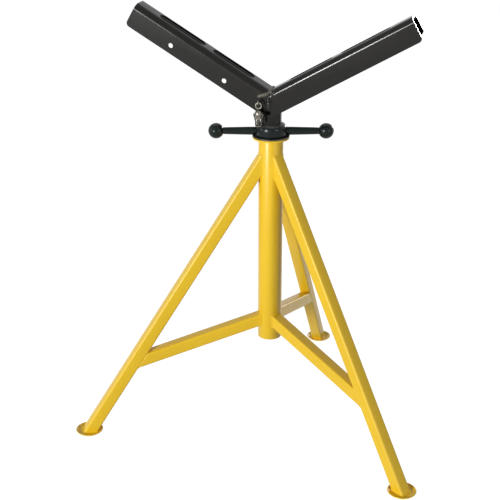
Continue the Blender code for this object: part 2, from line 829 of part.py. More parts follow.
# The two arms meet on the stand's centre plane
def cut_mitre(arm, name, side):
    block = (FRONT_FLANGE_HEIGHT + v_width + CUT_OVERRUN) * 2
    place = Vector((-side * (block - CLEARANCE) / 2, 0, v_foot_height + FRONT_FLANGE_HEIGHT))
    cut(arm, box_cutter(name + "_mitre", (block, block, block), place))


def cut_slots(arm, name, side):
    along, across, square = arm_frame(side)
    for number, shares in enumerate((INNER_SLOT_SHARES, OUTER_SLOT_SHARES), 1):
        loop = slot_outline(shares[0] * V_ARM_LENGTH, shares[1] * V_ARM_LENGTH)
        turn = Matrix((along, across, along.cross(across))).transposed().to_4x4()
        place = arm_place(side, 0, FRONT_FLANGE_HEIGHT - V_WALL / 2) + across * v_middle
        matrix = Matrix.Translation(place) @ turn
        half_depth = V_WALL / 2 + CUT_OVERRUN
        slot = outline_mesh_object(f"{name}_slot_{number}", [loop], half_depth, cutter_group, matrix)
        cut(arm, mark_cutter(slot))


def cut_flange_corners(arm, name, side):
    along, across, square = arm_frame(side)
    for label, edge_height, place_y in (
        ("front", 0, V_WALL / 2 - V_FRONT_REACH),
        ("back", BACK_FLANGE_RISE, V_BACK_REACH - V_WALL / 2),
    ):
        turn = Matrix((along, square, along.cross(square))).transposed().to_4x4()
        place = arm_place(side, 0, 0) + across * place_y
        half_depth = V_BEND_RADIUS / 2
        corner = outline_mesh_object(
            f"{name}_{label}_corner",
            [corner_outline(edge_height)],
            half_depth,
            cutter_group,
            Matrix.Translation(place) @ turn,
        )
        cut(arm, mark_cutter(corner))


def cut_flange_holes(arm, name, side):
    along, across, square = arm_frame(side)
    for number, share in enumerate(FLANGE_HOLE_SHARES, 1):
        centre = arm_place(side, share * V_ARM_LENGTH, FLANGE_HOLE_RISE_SHARE * FRONT_FLANGE_HEIGHT)
        hole = cylinder_cutter(
            f"{name}_hole_{number}",
            FLANGE_HOLE_RADIUS,
            centre - across * (V_FRONT_REACH + CUT_OVERRUN),
            centre - across * (V_FRONT_REACH - V_WALL - CUT_OVERRUN),
            SMALL_SEGMENTS,
        )
        cut(arm, hole)


# Staple on the left arm's front flange: two legs, one above the other, and a rounded front
def build_staple(axis):
    root = -V_FRONT_REACH - CLEARANCE - pin_plane
    front = -(WIRE_RADIUS + CLEARANCE + WIRE_RADIUS) - staple_spacing / 2
    corners = [
        (0, root, 0),
        (0, front, 0),
        (0, front, staple_spacing),
        (0, root, staple_spacing),
    ]
    bend = staple_spacing / 2 - CLEARANCE
    points = bent_path(corners, bend, CORNER_SEGMENTS)
    place = (-LANYARD_SIDE, pin_plane, staple_height)
    staple = wire_object("lanyard_staple", points, WIRE_RADIUS, stand_group, place)
    finish_piece(staple, ZINC, 0.35, 1.0, axis)


# Link that hangs in the staple
def build_link(axis):
    last_turn = 360 - 360 / SMALL_SEGMENTS
    points = [(x, 0, z) for x, z in arc(0, 0, LINK_RADIUS, 0, last_turn, SMALL_SEGMENTS - 1)]
    place = (-LANYARD_SIDE, pin_plane, link_height)
    link = wire_object("lanyard_link", points, WIRE_RADIUS, stand_group, place, closed=True)
    finish_piece(link, ZINC, 0.35, 1.0, axis)


# Lock pin: round head with a pierced lug above and a shank below
def build_lock_pin(axis):
    neck = math.degrees(math.asin(SHANK_RADIUS / KNOB_RADIUS))
    profile = arc(0, 0, KNOB_RADIUS, 90, neck - 90, PIN_SEGMENTS)
    profile[0] = (0, KNOB_RADIUS)
    profile += [
        (SHANK_RADIUS, SHANK_CHAMFER - SHANK_LENGTH),
        (SHANK_RADIUS - SHANK_CHAMFER, -SHANK_LENGTH),
        (0, -SHANK_LENGTH),
    ]
    place = Vector((-LANYARD_SIDE, pin_plane, knob_height))
    pin = turned("lock_pin", profile, SMALL_SEGMENTS, stand_group, place)
    lug_centre = Vector((-LANYARD_SIDE, pin_plane, lug_height))
    half_lug = Vector((LUG_THICKNESS / 2, 0, 0))
    lug = cylinder_cutter(
        "pin_lug", LUG_RADIUS, lug_centre - half_lug, lug_centre + half_lug, SMALL_SEGMENTS
    )
    join(pin, lug)
    half_hole = Vector((LUG_THICKNESS, 0, 0))
    hole = cylinder_cutter(
        "pin_lug_hole", LUG_HOLE_RADIUS, lug_centre - half_hole, lug_centre + half_hole, PIN_SEGMENTS
    )
    cut(pin, hole)
    for label, direction in (("left", -1), ("right", 1)):
        outer = Vector((direction * (KNOB_RADIUS + CUT_OVERRUN), 0, 0))
        inner = Vector((direction * (KNOB_RADIUS - BAIL_PIVOT_DEPTH - CLEARANCE), 0, 0))
        pivot = cylinder_cutter(
            f"bail_pivot_{label}",
            BAIL_WIRE_RADIUS + CLEARANCE,
            place + inner,
            place + outer,
            PIN_SEGMENTS,
        )
        cut(pin, pivot)
    finish_piece(pin, ZINC, 0.30, 1.0, axis)


# Wire bail that swings on the lock pin's head
def build_bail(axis):
    inner = KNOB_RADIUS - BAIL_PIVOT_DEPTH
    small_bend = BAIL_WIRE_RADIUS + CLEARANCE
    side = bail_half_width
    corners = [(-inner, 0, 0), (-side, 0, 0), (-side, 0, -bail_drop)]
    corners += [(side, 0, -bail_drop), (side, 0, 0), (inner, 0, 0)]
    left = bent_path(corners[:3], small_bend, CORNER_SEGMENTS)[:-1]
    foot = bent_path(corners[1:5], BAIL_CORNER_RADIUS, CORNER_SEGMENTS)[1:-1]
    right = bent_path(corners[3:], small_bend, CORNER_SEGMENTS)[1:]
    place = (-LANYARD_SIDE, pin_plane, knob_height)
    bail = wire_object("pin_bail", left + foot + right, BAIL_WIRE_RADIUS, stand_group, place)
    finish_piece(bail, ZINC, 0.35, 1.0, axis)


# Assembly
column_piece = build_column()
build_collar(column_piece)
build_legs(column_piece)
build_braces(column_piece)
build_pads(column_piece)

swivel_axis = make_axis("swivel_axis", (0, 0, washer_foot))
build_washer(swivel_axis)
nut_axis = make_axis("nut_axis", (0, 0, nut_foot), swivel_axis)
build_nut(nut_axis)
build_handle(nut_axis)
lift_axis = make_axis("lift_axis", (0, 0, screw_foot), swivel_axis)
build_screw(lift_axis)
build_stop(lift_axis)
head_axis = make_axis("head_axis", (0, 0, socket_foot), lift_axis)
build_socket(head_axis)
build_arm("left_arm", -1, head_axis)
build_arm("right_arm", 1, head_axis)
build_staple(head_axis)
link_axis = make_axis("link_axis", (-LANYARD_SIDE, pin_plane, staple_height), head_axis)
build_link(link_axis)
build_lock_pin(link_axis)
bail_axis = make_axis("bail_axis", (-LANYARD_SIDE, pin_plane, knob_height), link_axis)
build_bail(bail_axis)
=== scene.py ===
import math

import bmesh
import bpy
from mathutils import Matrix, Vector, noise


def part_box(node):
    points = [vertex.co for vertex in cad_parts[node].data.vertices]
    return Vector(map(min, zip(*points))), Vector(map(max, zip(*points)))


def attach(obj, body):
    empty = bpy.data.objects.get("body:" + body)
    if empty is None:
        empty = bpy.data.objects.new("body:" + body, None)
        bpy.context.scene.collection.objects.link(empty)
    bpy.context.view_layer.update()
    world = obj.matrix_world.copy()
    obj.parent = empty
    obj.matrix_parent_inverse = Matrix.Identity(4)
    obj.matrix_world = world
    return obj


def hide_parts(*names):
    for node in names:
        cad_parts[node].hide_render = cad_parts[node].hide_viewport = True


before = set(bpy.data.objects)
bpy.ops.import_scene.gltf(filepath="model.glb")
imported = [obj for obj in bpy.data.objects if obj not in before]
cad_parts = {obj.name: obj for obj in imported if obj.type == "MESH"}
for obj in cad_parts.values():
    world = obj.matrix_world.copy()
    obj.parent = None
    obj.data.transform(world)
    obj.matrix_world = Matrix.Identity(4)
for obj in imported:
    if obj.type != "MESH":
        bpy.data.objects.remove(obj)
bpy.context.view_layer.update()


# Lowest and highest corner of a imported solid, to a thousandth of a millimetre
def node_corners(node):
    return [[round(value, 6) for value in corner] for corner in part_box(node)]


# Sizes and places in metres. The column's axis is Z, the floor is Z = 0 and the viewer's side is -Y.
# Those of the imported solids are read from model.glb, and the rest follow the same solids.
GAP = 0.0003

# Column, collar and thrust ring
(_, _, COLUMN_FOOT), (COLUMN_R, _, COLUMN_TOP) = node_corners("column_tube")
(_, _, COLLAR_FOOT), (COLLAR_R, _, COLLAR_TOP) = node_corners("column_collar")
(_, _, RING_FOOT), (RING_R, _, RING_TOP) = node_corners("thrust_washer")
COLUMN_WALL, COLUMN_EASE, COLLAR_ROUNDING, RING_EASE = 0.0039, 0.0006, 0.0012, 0.0005
COLUMN_BORE = COLUMN_R - COLUMN_WALL

# Legs, braces and pads
TUBE, TUBE_WALL, TUBE_CORNER = 0.03175, 0.0032, 0.005
LEG_COUNT, FIRST_LEG = 3, 86.13
LEG_REACH, LEG_DROP, BRACE_RISE, BRACE_DROP = 0.4787, 0.0275, 0.0491, 0.0943
LEG_APEX = COLLAR_TOP - LEG_DROP
BRACE_TOP = COLUMN_FOOT + BRACE_RISE
BRACE_LOW = BRACE_TOP - BRACE_DROP
PAD_RIM, PAD_BASE, PAD_T, PAD_H = 0.0349, 0.0319, 0.003, 0.0065
PAD_INSET, PAD_INNER_BEND, PAD_OUTER_BEND, PAD_LIP = 0.0040, 0.0022, 0.0035, 0.0013

# Nut and handle. In the photo the nut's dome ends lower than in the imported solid.
(_, _, PILOT_FOOT), (NUT_R, _, _) = node_corners("jack_nut")
NUT_FOOT, NUT_TOP = RING_TOP + GAP, 0.8082
NUT_EASE, SHOULDER_R, NUT_SWELL, NUT_LEAN = 0.0008, 0.0118, 0.030, 16
# The last of these is the height above which the nut's top gets a painted reflection
NUT_WALL_RISE, NUT_FOOT_R, PAINTED_SHEEN_HEIGHT = 0.0050, 0.0030, 0.8030
PILOT_R = COLUMN_BORE - GAP
HANDLE_TURN = math.radians(15.4)
ARM_ROOT, ARM_TIP, ARM_START, ARM_TAPER_START = 0.0099, 0.0084, 0.030, 0.048
ARM_SINK, ARM_TIP_EASE, ARM_FLARE, ARM_FLARE_LENGTH = 0.006, 0.001, 0.0004, 0.012
HANDLE_Z = NUT_FOOT + ARM_ROOT
BALL_R, BALL_REACH, BALL_BORE, BALL_FIT = 0.01905, 0.133, 0.010, 0.0002
BALL_LIP, BALL_LIP_WIDTH, BALL_LIP_DROP, BALL_LIP_SINK = 0.0012, 0.0007, 0.0002, 0.0006

# Screw, its stop, and the socket and cap of the V-head
(_, _, SCREW_FOOT), (SCREW_R, _, _) = node_corners("jack_screw")
_, (_, _, STOP_TOP) = node_corners("stop_collar")
_, (SOCKET_R, _, SOCKET_TOP) = node_corners("head_socket")
(_, _, CAP_FOOT), (_, _, CAP_TOP) = node_corners("socket_cap")
THREAD_DEPTH, LEAD, THREAD_GAP, SCREW_EASE = 0.003, 0.008, 0.0005, 0.0008
JOURNAL_R, JOURNAL_LAP, SPIGOT_SINK = 0.0145, 0.006, 0.004
SCREW_ROOT, NUT_BORE, JOURNAL_TOP = SCREW_R - THREAD_DEPTH, SCREW_R + GAP, STOP_TOP + GAP
SOCKET_WALL, SOCKET_EASE, SOCKET_FOOT = 0.0062, 0.0006, NUT_TOP + GAP
SOCKET_BORE = SOCKET_R - SOCKET_WALL
PIN_HOLE_Z, PIN_HOLE_R, PIN_HOLE_REACH = 0.838, 0.00475, 0.04

# V arms, formed as channels that open downwards
(_, arm_front, _), (_, V_BACK, _) = node_corners("right_arm")
V_FRONT = -arm_front
V_MIDDLE = (V_BACK - V_FRONT) / 2
RISE = math.radians(30.2)
V_FOOT, V_WALL, V_LENGTH = 0.8224, 0.004, 0.4125
BEND, BEND_STEPS, FLANGE, BACK_RISE, FLANGE_CORNER = 0.015, 14, 0.0580, 0.008, 0.010
SLOTS, SLOT_HALF = ((0.0838, 0.2015), (0.2245, 0.354)), 0.014
HOLES, HOLE_UP, HOLE_R = (0.1389, 0.2920), 0.0183, 0.006
ARM_EASE = 0.0005

# Lock pin with its staple, link and bail
(_, _, staple_low), (_, _, staple_high) = node_corners("lanyard_staple")
(link_left, link_front, link_low), (link_right, link_back, link_high) = node_corners("lanyard_link")
WIRE, LINK_R = 0.0015, 0.007
STAPLE_Z, STAPLE_GAP = staple_low + WIRE, staple_high - staple_low - WIRE - WIRE
PIN_X, PIN_Y = (link_left + link_right) / 2, (link_front + link_back) / 2
LINK_Z = (link_low + link_high) / 2
EYE_Z, EYE_R, EYE_WIRE = 0.8502, 0.0034, 0.0012
KNOB_Z, KNOB_R, KNOB_TURN, NECK_R, NECK_DROP, NECK_EASE = 0.8379, 0.0096, -44, 0.0062, 0.0122, 0.0006
SHANK_R, SHANK_L = 0.00425, 0.0286
TIP_LENGTH, TIP_EASE, TIP_SHOULDER, TIP_INSET = 0.0015, 0.0006, 0.0004, 0.0012
BAIL_WIRE, BAIL_HALF, BAIL_DROP, BAIL_SINK = 0.0018, 0.0118, 0.0308, 0.004
BAIL_LOW_HALF, BAIL_LOW_DROP, BAIL_TOP_BEND, BAIL_BEND = 0.0068, 0.0185, 0.0020, 0.0040

# Weld beads: how thick each is, and what wanders along it
COLLAR_WELD, LEG_TOP_WELD, LEG_FOOT_WELD, LEG_FOOT_LIFT = 0.0016, 0.0019, 0.0018, 0.0004
BRACE_TOP_WELD, BRACE_LOW_WELD, BRACE_CORNER_SHARE = 0.0018, 0.0017, 0.45
CAP_WELD, STAPLE_WELD, STAPLE_WELD_LIFT, STAPLE_WELD_REACH = 0.0020, 0.0010, 0.0001, 0.0004
MITRE_WELD, VALLEY_WELD, RUN_WELD, END_WELD, MITRE_START = 0.0024, 0.0040, 0.0058, 0.0048, 0.004
RUN_SINK, END_SINK = 0.0036, 0.0030
WELD_STEP, WELD_PITCH, FINE_PITCH, COARSE_PITCH = 0.0009, 0.0032, 0.002, 0.0045
BEAD_SHARE, RIPPLE_SHARE, WANDER_SHARE, DRIFT_SHARE = 0.95, 0.07, 0.06, 0.10
WANDER_RATE, WANDER_ROW, DRIFT_RATE, DRIFT_ROW = 0.11, 3.7, 0.08, 9.1

# Sides of round shapes
LARGE_SIDES, PAD_SIDES, MEDIUM_SIDES, SMALL_SIDES = 96, 72, 64, 48
THREAD_SIDES, LINK_SIDES, EYE_SIDES, STAPLE_WELD_SIDES = 32, 48, 40, 24
WIRE_SIDES, THIN_WIRE_SIDES, WELD_SIDES = 16, 14, 10

# Angles in degrees above which an edge is sharp
SHARP, TUBE_SHARP, THREAD_SHARP, WIRE_SHARP, ARM_SHARP, WELD_SHARP = 35, 30, 40, 50, 60, 70

# Points nearer than this become one, and how far the cutters reach
MERGE = 1e-6
BLOCK, BLOCK_Z, SOCKET_CUT_Z, SLOT_CUT, FLANGE_CUT = 0.24, 0.9, 0.80, 0.012, 0.006
CORNER_CUT, END_CUT, HOLE_CUT_FRONT, HOLE_CUT_BACK = 0.004, 0.006, 0.032, 0.015

X, Y, Z = Vector((1, 0, 0)), Vector((0, 1, 0)), Vector((0, 0, 1))

# Without a seed the noise that bends the welds would differ from run to run
NOISE_SEED = 1
noise.seed_set(NOISE_SEED)


# Mesh building
def mesh_object(name, verts, faces, sharp=SHARP):
    mesh = bpy.data.meshes.new(name)
    mesh.from_pydata([tuple(v) for v in verts], [], faces)
    bm = bmesh.new()
    bm.from_mesh(mesh)
    bmesh.ops.remove_doubles(bm, verts=bm.verts, dist=MERGE)
    bmesh.ops.recalc_face_normals(bm, faces=bm.faces)
    bm.to_mesh(mesh)
    bm.free()
    mesh.shade_smooth()
    mesh.set_sharp_from_angle(angle=math.radians(sharp))
    item = bpy.data.objects.new(name, mesh)
    bpy.context.scene.collection.objects.link(item)
    return item


# Points of an arc in a flat outline, from one angle in degrees to another
def arc(cx, cy, radius, start, end, steps):
    points = []
    for i in range(steps + 1):
        a = math.radians(start + (end - start) * i / steps)
        points.append((cx + radius * math.cos(a), cy + radius * math.sin(a)))
    return points


# Points of a whole circle in space, from one direction towards the other
def circle(centre, radius, first, second, count):
    turns = [math.tau * i / count for i in range(count)]
    return [centre + (first * math.cos(a) + second * math.sin(a)) * radius for a in turns]


# Outline of radius and height turned round Z. It closes on itself, or has both ends on the axis.
def lathe(name, profile, sides, closed=True, matrix=None, sharp=SHARP):
    verts, faces = [], []
    rows = len(profile)
    for j in range(sides):
        a = math.tau * j / sides
        for r, z in profile:
            verts.append(Vector((r * math.cos(a), r * math.sin(a), z)))
    last = rows if closed else rows - 1
    for j in range(sides):
        k = (j + 1) % sides
        for i in range(last):
            n = (i + 1) % rows
            faces.append((j * rows + i, k * rows + i, k * rows + n, j * rows + n))
    if matrix is not None:
        verts = [matrix @ v for v in verts]
    return mesh_object(name, verts, faces, sharp)


# Points at even steps along a path
def resample(points, step, closed):
    ring = list(points) + ([points[0]] if closed else [])
    lengths = [0.0]
    for a, b in zip(ring, ring[1:]):
        lengths.append(lengths[-1] + (b - a).length)
    total = lengths[-1]
    count = max(4, int(round(total / step)))
    result, k = [], 0
    for i in range(count if closed else count + 1):
        s = total * i / count
        while k < len(lengths) - 2 and lengths[k + 1] < s:
            k += 1
        span = lengths[k + 1] - lengths[k]
        t = 0.0 if span == 0.0 else (s - lengths[k]) / span
        result.append(ring[k].lerp(ring[k + 1], t))
    return result


# Round section carried along a path without twisting. The radius may change from point to point.
def sweep(name, path, radius, sides, closed=False, sharp=WIRE_SHARP):
    count = len(path)
    tangents = []
    for i in range(count):
        before = path[i - 1] if (i > 0 or closed) else path[i]
        after = path[(i + 1) % count] if (i < count - 1 or closed) else path[i]
        tangents.append((after - before).normalized())
    normal = tangents[0].orthogonal().normalized()
    normals = []
    for i in range(count):
        if i:
            turn = tangents[i - 1].rotation_difference(tangents[i])
            normal = (turn @ normal).normalized()
        normals.append(normal.copy())
    twist = 0.0
    if closed:
        turn = tangents[-1].rotation_difference(tangents[0])
        end = (turn @ normals[-1]).normalized()
        side = tangents[0].cross(normals[0])
        twist = math.atan2(end.dot(side), end.dot(normals[0]))
    verts, faces = [], []
    for i, point in enumerate(path):
        size = radius(i) if callable(radius) else radius
        n = normals[i]
        b = tangents[i].cross(n)
        shift = -twist * i / count
        for j in range(sides):
            a = math.tau * j / sides + shift
            verts.append(point + (n * math.cos(a) + b * math.sin(a)) * size)
    for i in range(count if closed else count - 1):
        m = (i + 1) % count
        for j in range(sides):
            k = (j + 1) % sides
            faces.append((i * sides + j, i * sides + k, m * sides + k, m * sides + j))
    if not closed:
        faces.append(tuple(reversed(range(sides))))
        faces.append(tuple((count - 1) * sides + j for j in range(sides)))
    return mesh_object(name, verts, faces, sharp)


# Run of weld with overlapping ripples
def weld(name, path, size, seed, closed=True, pitch=WELD_PITCH):
    points = resample(path, WELD_STEP, closed)

    def radius(i):
        phase = (i * WELD_STEP / pitch) % 1.0
        ripple = BEAD_SHARE + RIPPLE_SHARE * math.sqrt(max(0.0, 1.0 - (2 * phase - 1) ** 2))
        wander = noise.noise(Vector((i * WANDER_RATE, seed, WANDER_ROW)))
        return size * (ripple + WANDER_SHARE * wander)

    shifted = []
    for i, point in enumerate(points):
        drift = noise.noise_vector(Vector((i * DRIFT_RATE, seed, DRIFT_ROW)))
        shifted.append(point + drift * size * DRIFT_SHARE)
    return sweep(name, shifted, radius, WELD_SIDES, closed, WELD_SHARP)


# Path through corners, each rounded by an arc
def bent(corners, radius, steps):
    points = [Vector(corners[0])]
    for before, corner, after in zip(corners, corners[1:], corners[2:]):
        corner = Vector(corner)
        a = (Vector(before) - corner).normalized()
        b = (Vector(after) - corner).normalized()
        half = a.angle(b) / 2
        reach = radius / math.tan(half)
        centre = corner + (a + b).normalized() * (radius / math.sin(half))
        first = corner + a * reach - centre
        last = corner + b * reach - centre
        whole = first.angle(last)
        for i in range(steps + 1):
            t = i / steps
            points.append(
                centre
                + first * (math.sin((1 - t) * whole) / math.sin(whole))
                + last * (math.sin(t * whole) / math.sin(whole))
            )
    points.append(Vector(corners[-1]))
    return points


def apply_modifiers(item):
    graph = bpy.context.evaluated_depsgraph_get()
    graph.update()
    mesh = bpy.data.meshes.new_from_object(item.evaluated_get(graph), depsgraph=graph)
    old = item.data
    item.modifiers.clear()
    item.data = mesh
    bpy.data.meshes.remove(old)


def cut_with(item, cutters):
    for cutter in cutters:
        step = item.modifiers.new("cut", "BOOLEAN")
        step.operation = "DIFFERENCE"
        step.solver = "EXACT"
        step.object = cutter
    apply_modifiers(item)
    item.data.shade_smooth()
    item.data.set_sharp_from_angle(angle=math.radians(SHARP))
    for cutter in cutters:
        bpy.data.objects.remove(cutter, do_unlink=True)


def soften(item, width, limit=40, segments=2):
    step = item.modifiers.new("soften", "BEVEL")
    step.width = width
    step.segments = segments
    step.limit_method = "ANGLE"
    step.angle_limit = math.radians(limit)
    step.miter_outer = "MITER_ARC"
    step.harden_normals = True
    apply_modifiers(item)


def prism(name, outline, matrix, low, high):
    count = len(outline)
    verts = [matrix @ Vector((x, y, low)) for x, y in outline]
    verts += [matrix @ Vector((x, y, high)) for x, y in outline]
    faces = [tuple(reversed(range(count))), tuple(range(count, 2 * count))]
    for i in range(count):
        k = (i + 1) % count
        faces.append((i, k, count + k, count + i))
    return mesh_object(name, verts, faces)


def rod_cutter(start, end, radius, sides=SMALL_SIDES):
    run = (end - start).normalized()
    turn = run.to_track_quat("Z", "Y").to_matrix().to_4x4()
    outline = arc(0, 0, radius, 0, 360 - 360 / sides, sides - 1)
    return prism("cutter", outline, Matrix.Translation(start) @ turn, 0, (end - start).length)


# Cross hole for the lock pin, through the socket and the screw's spigot
def cut_pin_hole(item):
    middle = Z * PIN_HOLE_Z
    reach = Y * PIN_HOLE_REACH
    cut_with(item, [rod_cutter(middle - reach, middle + reach, PIN_HOLE_R)])


# Node materials. Noise scales are per metre of the object's own space.
class Shader:
    def __init__(self, name, colour, roughness, metallic=0.0):
        self.material = bpy.data.materials.new(name)
        self.material.use_nodes = True
        self.material.diffuse_color = (*colour, 1.0)
        self.nodes = self.material.node_tree.nodes
        self.links = self.material.node_tree.links
        self.surface = self.nodes["Principled BSDF"]
        self.set("Base Color", (*colour, 1.0))
        self.set("Roughness", roughness)
        self.set("Metallic", metallic)
        self.place = self.nodes.new("ShaderNodeTexCoord").outputs["Object"]

    def set(self, socket, value):
        self.surface.inputs[socket].default_value = value

    def stretched(self, scale):
        node = self.nodes.new("ShaderNodeMapping")
        node.inputs["Scale"].default_value = scale
        self.links.new(self.place, node.inputs["Vector"])
        return node.outputs["Vector"]

    def noise(self, scale, detail=4.0, roughness=0.55, distortion=0.0, vector=None):
        node = self.nodes.new("ShaderNodeTexNoise")
        node.inputs["Scale"].default_value = scale
        node.inputs["Detail"].default_value = detail
        node.inputs["Roughness"].default_value = roughness
        node.inputs["Distortion"].default_value = distortion
        self.links.new(vector or self.place, node.inputs["Vector"])
        return node.outputs["Fac"]

    # Grey that goes from its least to white between two values of the source
    def fade(self, source, start, end, least=0.0):
        node = self.nodes.new("ShaderNodeValToRGB")
        for element, place, level in zip(node.color_ramp.elements, (start, end), (least, 1.0)):
            element.position = place
            element.color = (level, level, level, 1.0)
        self.links.new(source, node.inputs["Fac"])
        return node.outputs["Color"]

    def math(self, operation, a, b, clamp=False):
        node = self.nodes.new("ShaderNodeMath")
        node.operation = operation
        node.use_clamp = clamp
        for socket, value in zip(node.inputs, (a, b)):
            if isinstance(value, float):
                socket.default_value = value
            else:
                self.links.new(value, socket)
        return node.outputs[0]

    def mix(self, factor, a, b):
        node = self.nodes.new("ShaderNodeMix")
        node.data_type = "RGBA"
        for socket, value in ((node.inputs[0], factor), (node.inputs[6], a), (node.inputs[7], b)):
            if isinstance(value, tuple):
                socket.default_value = (*value, 1.0)
            else:
                self.links.new(value, socket)
        return node.outputs[2]

    def height(self):
        node = self.nodes.new("ShaderNodeSeparateXYZ")
        self.links.new(self.place, node.inputs[0])
        return node.outputs["Z"]

    def bump(self, source, distance, before=None):
        node = self.nodes.new("ShaderNodeBump")
        node.inputs["Distance"].default_value = distance
        node.inputs["Strength"].default_value = 1.0
        self.links.new(source, node.inputs["Height"])
        if before is not None:
            self.links.new(before, node.inputs["Normal"])
        return node.outputs["Normal"]

    def finish(self, colour, roughness, normal):
        self.links.new(colour, self.surface.inputs["Base Color"])
        self.links.new(roughness, self.surface.inputs["Roughness"])
        self.links.new(normal, self.surface.inputs["Normal"])
        return self.material


# Paint: slow tone changes, orange peel, fine rubs and small chips. Where a sheen colour is given,
# the paint above the nut's shoulder is speckled with it: a painted reflection of the light from above.
def paint(name, base, deep, chip, roughness, peel, chips, specular, painted_sheen=None):
    rub_gain, rub_lift, rub_share = 1.25, 0.02, 0.16
    chip_fade, chip_dullness = 0.012, 0.25
    gloss_change, sheen_sharpness, wide_peel = 0.14, 2500.0, 1.5
    s = Shader(name, base, roughness)
    s.set("Specular IOR Level", specular)
    tone = s.fade(s.noise(scale=5.0, detail=3.0), start=0.30, end=0.70)
    colour = s.mix(tone, deep, base)
    lengthwise = s.stretched((1.0, 1.0, 0.22))
    rubs = s.noise(scale=38.0, detail=6.0, roughness=0.75, distortion=0.4, vector=lengthwise)
    rubs = s.math("MULTIPLY", s.fade(rubs, start=0.60, end=0.72), rub_share)
    colour = s.mix(rubs, colour, tuple(min(1.0, value * rub_gain + rub_lift) for value in base))
    spots = s.noise(scale=95.0, detail=5.0, roughness=0.7, distortion=0.2)
    spots = s.fade(spots, start=chips, end=chips + chip_fade)
    patches = s.fade(s.noise(scale=9.0, detail=2.0, roughness=0.5), start=0.50, end=0.60)
    chipped = s.math("MULTIPLY", spots, patches)
    colour = s.mix(chipped, colour, chip)
    # Painted reflection: lighter speckle on the nut's top above its shoulder, where it faces the light
    # from above
    if painted_sheen is not None:
        above = s.math("SUBTRACT", s.height(), PAINTED_SHEEN_HEIGHT)
        above = s.math("MULTIPLY", above, sheen_sharpness, clamp=True)
        sheen_speck = s.fade(s.noise(scale=170.0, detail=5.0, roughness=0.7), start=0.34, end=0.62, least=0.35)
        colour = s.mix(s.math("MULTIPLY", above, sheen_speck), colour, painted_sheen)
    gloss = s.math("MULTIPLY", s.noise(scale=24.0), gloss_change)
    gloss = s.math("ADD", gloss, roughness - gloss_change / 2)
    gloss = s.math("ADD", gloss, s.math("MULTIPLY", chipped, chip_dullness), clamp=True)
    fine = s.bump(s.noise(scale=260.0, detail=2.0, roughness=0.5), peel)
    lumps = s.bump(s.noise(scale=46.0, detail=3.0), peel * wide_peel, fine)
    return s.finish(colour, gloss, lumps)


# Metal: fine turned or drawn lines, dull patches and dark stains. Lines are drawn out along an
# axis where their scale is small.
def metal(name, base, deep, stain, roughness, lines):
    stain_share, gloss_change, line_depth = 0.5, 0.22, 0.00003
    s = Shader(name, base, roughness, metallic=1.0)
    patch = s.fade(s.noise(scale=70.0, detail=5.0, roughness=0.65), start=0.35, end=0.68)
    colour = s.mix(patch, deep, base)
    stains = s.fade(s.noise(scale=150.0, detail=5.0, roughness=0.7), start=0.55, end=0.70)
    colour = s.mix(s.math("MULTIPLY", stains, stain_share), colour, stain)
    gloss = s.math("MULTIPLY", s.noise(scale=110.0), gloss_change)
    gloss = s.math("ADD", gloss, roughness - gloss_change / 2)
    drawn = s.noise(scale=900.0, detail=2.0, roughness=0.5, vector=s.stretched(lines))
    return s.finish(colour, gloss, s.bump(drawn, line_depth))


yellow = paint(
    "yellow_paint_worn",
    base=(0.80, 0.525, 0.018),
    deep=(0.755, 0.480, 0.014),
    chip=(0.36, 0.22, 0.03),
    roughness=0.34,
    peel=0.00003,
    chips=0.75,
    specular=0.40,
)
black = paint(
    "black_paint_worn",
    base=(0.0052, 0.0046, 0.0032),
    deep=(0.0036, 0.0033, 0.0024),
    chip=(0.06, 0.055, 0.04),
    roughness=0.19,
    peel=0.00001,
    chips=0.72,
    specular=0.24,
)
green = paint(
    "green_enamel_cast",
    base=(0.0036, 0.0090, 0.0084),
    deep=(0.0022, 0.0060, 0.0058),
    chip=(0.030, 0.036, 0.030),
    roughness=0.24,
    peel=0.00006,
    chips=0.75,
    specular=0.20,
    # Speckle colour of the painted reflection on the nut's top
    painted_sheen=(0.075, 0.078, 0.068),
)
# Lighter brown grey for the valley and run welds of the mitre: a painted highlight where these welds
# catch the light
painted_weld_highlight = paint(
    "weld_painted_highlight",
    base=(0.12, 0.11, 0.085),
    deep=(0.050, 0.045, 0.035),
    chip=(0.20, 0.18, 0.13),
    roughness=0.40,
    peel=0.00006,
    chips=0.66,
    specular=0.35,
)
drawn_along, turned_round = (1.0, 1.0, 0.15), (0.08, 0.08, 1.0)
zinc = metal(
    "zinc_plate",
    base=(0.40, 0.38, 0.33),
    deep=(0.10, 0.092, 0.075),
    stain=(0.10, 0.08, 0.055),
    roughness=0.38,
    lines=drawn_along,
)
# Darker and slightly rougher copy of the zinc for the shank and bail: painted shade, where they reflect
# less light
shaded_zinc = metal(
    "zinc_painted_shade",
    base=(0.13, 0.122, 0.105),
    deep=(0.04, 0.037, 0.030),
    stain=(0.06, 0.05, 0.035),
    roughness=0.42,
    lines=drawn_along,
)
steel = metal(
    "machined_steel",
    base=(0.24, 0.235, 0.22),
    deep=(0.10, 0.095, 0.085),
    stain=(0.07, 0.055, 0.04),
    roughness=0.30,
    lines=turned_round,
)
oiled = metal(
    "oiled_steel",
    base=(0.105, 0.098, 0.080),
    deep=(0.050, 0.046, 0.038),
    stain=(0.03, 0.022, 0.015),
    roughness=0.48,
    lines=turned_round,
)


def dress(item, material, body, slot, *nodes):
    item.data.materials.clear()
    item.data.materials.append(material)
    for polygon in item.data.polygons:
        polygon.material_index = 0
    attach(item, body)
    if nodes:
        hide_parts(*nodes)


def stand_piece(item, *nodes):
    dress(item, yellow, "stand", "yellow_paint", *nodes)


def nut_piece(item, *nodes):
    dress(item, green, "nut", "green_paint", *nodes)


def screw_piece(item, *nodes):
    dress(item, steel, "screw", "steel", *nodes)


def head_piece(item, *nodes):
    dress(item, black, "head", "black_paint", *nodes)


def pin_piece(item, material, *nodes):
    dress(item, material, "hanging_pin", "zinc", *nodes)


